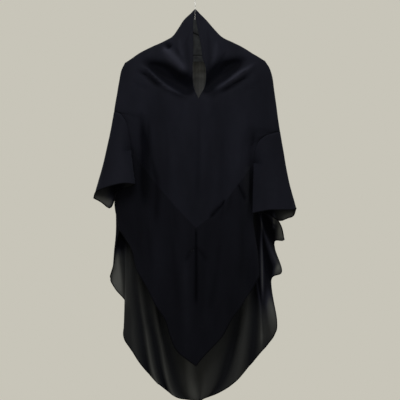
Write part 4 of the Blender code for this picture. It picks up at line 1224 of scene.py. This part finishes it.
def crepe(name, colours, sheen):
    """Matt crepe: a pebbled grain of twisted yarn, slightly mottled, with a soft sheen, with painted
    highlights on its folds and painted shade between them, and painted shade on the wrong side inside the
    side seams."""
    look = Look(name)
    # Painted shade in the hollows of the cloth and painted highlights on its ridges, by how far each point
    # stands proud
    proud = look.number(look.attribute("relief"), 0, 1, -RELIEF_SHOWN, RELIEF_SHOWN)
    painted_fold_shade, side_shaded = (look.ramp(proud, tones, FOLD_TONES) for tones in (colours, PAINTED_SIDE_SHADE_TONES))
    # Painted shade over the wrong side inside the side seams
    side_shade_mix = {"Factor": look.attribute("side_shade_cover"), 6: painted_fold_shade, 7: side_shaded}
    side_shade_mix = look.node("Mix", 2, side_shade_mix, data_type="RGBA")
    cloudy = look.number(look.noise(11, 3, (1, 1, 0.35)), *MOTTLE, 0.3, 0.7)
    bumps = [
        (look.noise(55, 3, (1, 1, 0.4)), 0.0012, 0.25),
        (look.noise(850, 2, (1, 1, 0.6)), 0.0005, 0.45),
        (look.wave(620, "Z", 2.5), 0.0002, 0.25),
    ]
    glow = {"Sheen Weight": sheen, "Sheen Roughness": 0.45, "Sheen Tint": (0.70, 0.76, 1.0, 1)}
    colour, rough = look.times(side_shade_mix, cloudy), look.number(look.noise(40), 0.62, 0.80)
    return look.finish(colour, rough, bumps, Specular_IOR_Level=0.02, **glow)


def knit(name, dark, light, shaded=False):
    """Ribbed jersey: upright ribs with rows of loops."""
    look = Look(name)
    tone = look.ramp(look.noise(60, 3), (dark, light))
    if shaded:
        height = look.node("SeparateXYZ", "Z", {"Vector": look.places})
        # Painted shade towards the chin and painted light towards the brow, evening out the light that falls
        # on the lining
        tone = look.times(tone, look.number(height, *LINING_SHADE, *LINING_HEIGHTS))
        tone = look.times(tone, look.number(look.wave(32, "X", 0.8), *LINING_STRIPES))
    bumps = [(look.wave(160, "X", 0.6), 0.0006, 0.6), (look.wave(420, "Z", 0.8), 0.0003, 0.3)]
    rough = look.number(look.noise(90), 0.70, 0.90)
    return look.finish(tone, rough, bumps, Sheen_Weight=0.06, Specular_IOR_Level=0.08)


def thread(name):
    look = Look(name)
    tone = look.ramp(look.noise(300), (OUTSIDE_LOW, OUTSIDE))
    rough = look.number(look.noise(500), 0.45, 0.60)
    bumps = [(look.wave(900, "DIAGONAL", 0.5), 0.0002, 0.5)]
    return look.finish(tone, rough, bumps, Sheen_Weight=0.02, Specular_IOR_Level=0.12)


def steel():
    """Drawn steel wire: fine lengthwise scratches and a few dull spots."""
    look = Look("drawn_steel")
    rough = look.number(look.noise(240, 4, (1, 1, 0.15)), 0.18, 0.42)
    bumps = [(look.noise(900, 3, (1, 1, 0.1)), 0.0001, 0.3)]
    return look.finish(look.ramp(look.noise(70, 4), STEEL), rough, bumps, Metallic=1.0)


def beech():
    """Dark stained wood: grain along the arms, and a satin lacquer."""
    look = Look("stained_beech")
    grain = look.noise(45, 5, (0.25, 3, 3))
    bumps = [(look.noise(220, 4, (0.1, 3, 3)), 0.0003, 0.3)]
    rough = look.number(grain, 0.30, 0.50)
    return look.finish(look.ramp(grain, BEECH), rough, bumps, Coat_Weight=0.3, Coat_Roughness=0.25)


def dress(obj, materials, node):
    """Gives a piece its materials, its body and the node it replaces."""
    for made in materials:
        obj.data.materials.append(made)
    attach(obj, "root")
    if node:
        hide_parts(node)


def line_the_hood(mesh):
    """Gives the wrong side of the back, behind the face, its ribbed lining."""
    for face in mesh.polygons:
        (across,), (down,) = shares_at(np.array([face.center]))
        if face.material_index == 1 and abs(across - LINED_MIDDLE) < LINED_REACH:
            if LINED_DROPS[0] < down < LINED_DROPS[1]:
                face.material_index = 3


def make_cloth():
    garment = whole_garment()
    loosen(garment)
    # The outside's tones, from painted shade in the hollows to painted highlights on the ridges
    right_side = [OUTSIDE_LOW, OUTSIDE, OUTSIDE_HIGH, OUTSIDE_HIGH]
    outside = crepe("crepe_outside", right_side, 0.03)
    # A darker copy of the outside for the lower front: painted shade
    lower = [tuple(LOWER_FRONT_SHADE * part for part in tone) for tone in right_side]
    shaded_lower_outside = crepe("crepe_outside_lower_front_shaded", lower, 0.02)
    inside = crepe("crepe_wrong_side", [INSIDE_LOW, INSIDE, INSIDE_HIGH, INSIDE_PAINTED_HIGHLIGHT], 0.02)
    rim = crepe("crepe_rolled_hem", [RIM] * 4, 0.01)
    lining = knit("ribbed_lining", LINING, LINING_LIGHT, shaded=True)
    sewing = thread("sewing_thread")
    for node, name, flat, area in CUTS:
        obj, hems = thick_piece(garment, node, name)
        shown = shaded_lower_outside if node == "front_panel" else outside
        edge = outside if node == "front_yoke" else rim
        dress(obj, [shown, inside, edge, lining], node)
        if node == "back_panel":
            line_the_hood(obj.data)
        threads = stitches(f"{name}_stitches", obj.data, hems)
        dress(threads, [sewing], None)
    band = brow_band()
    dress(band, [knit("brow_band_knit_ribs", KNIT, KNIT_LIGHT)], "brow_band")


def make_hanger():
    dress(hanger_hook(), [steel()], "hanger_hook")
    dress(hanger_bar(), [beech()], "hanger_bar")


def area_light(name, spot, size, power, colour):
    """A round light at a spot, turned to the garment's middle."""
    light = bpy.data.lights.new(name, "AREA")
    light.shape = "DISK"
    light.size = size
    light.energy = power
    light.color = colour
    way = Vector((0, 0, LIT_HEIGHT)) - Vector(spot)
    add(name, light, spot).rotation_euler = way.to_track_quat("-Z", "Y").to_euler()


def make_room():
    """A pale floor well below the hem, soft light, and the photograph's camera."""
    bpy.ops.mesh.primitive_plane_add(size=FLOOR_SIZE, location=(0, 0, FLOOR_HEIGHT))
    floor = bpy.context.object
    floor.name = "floor"
    look = Look("pale_floor")
    tone = look.ramp(look.noise(3, 3), (FLOOR, [part * 1.05 for part in FLOOR]))
    floor.data.materials.append(look.finish(tone, 0.8, []))
    world = bpy.data.worlds.new("wall_light")
    world.use_nodes = True
    world.node_tree.nodes["Background"].inputs["Color"].default_value = (*WALL, 1)
    bpy.context.scene.world = world
    area_light("key", (-0.18, -1.5, 1.3), 1.7, 78, (1.0, 0.99, 0.97))
    area_light("fill", (1.6, -1.6, 0.0), 1.2, 8, (0.95, 0.97, 1.0))
    camera = bpy.data.cameras.new("camera")
    camera.lens = LENS
    camera.sensor_width = 36
    obj = add("camera", camera, CAMERA)
    obj.rotation_euler = (math.pi / 2, 0, 0)
    bpy.context.scene.camera = obj
    bpy.context.scene.view_settings.view_transform = "Standard"


def main():
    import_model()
    make_cloth()
    make_hanger()
    make_room()


main()
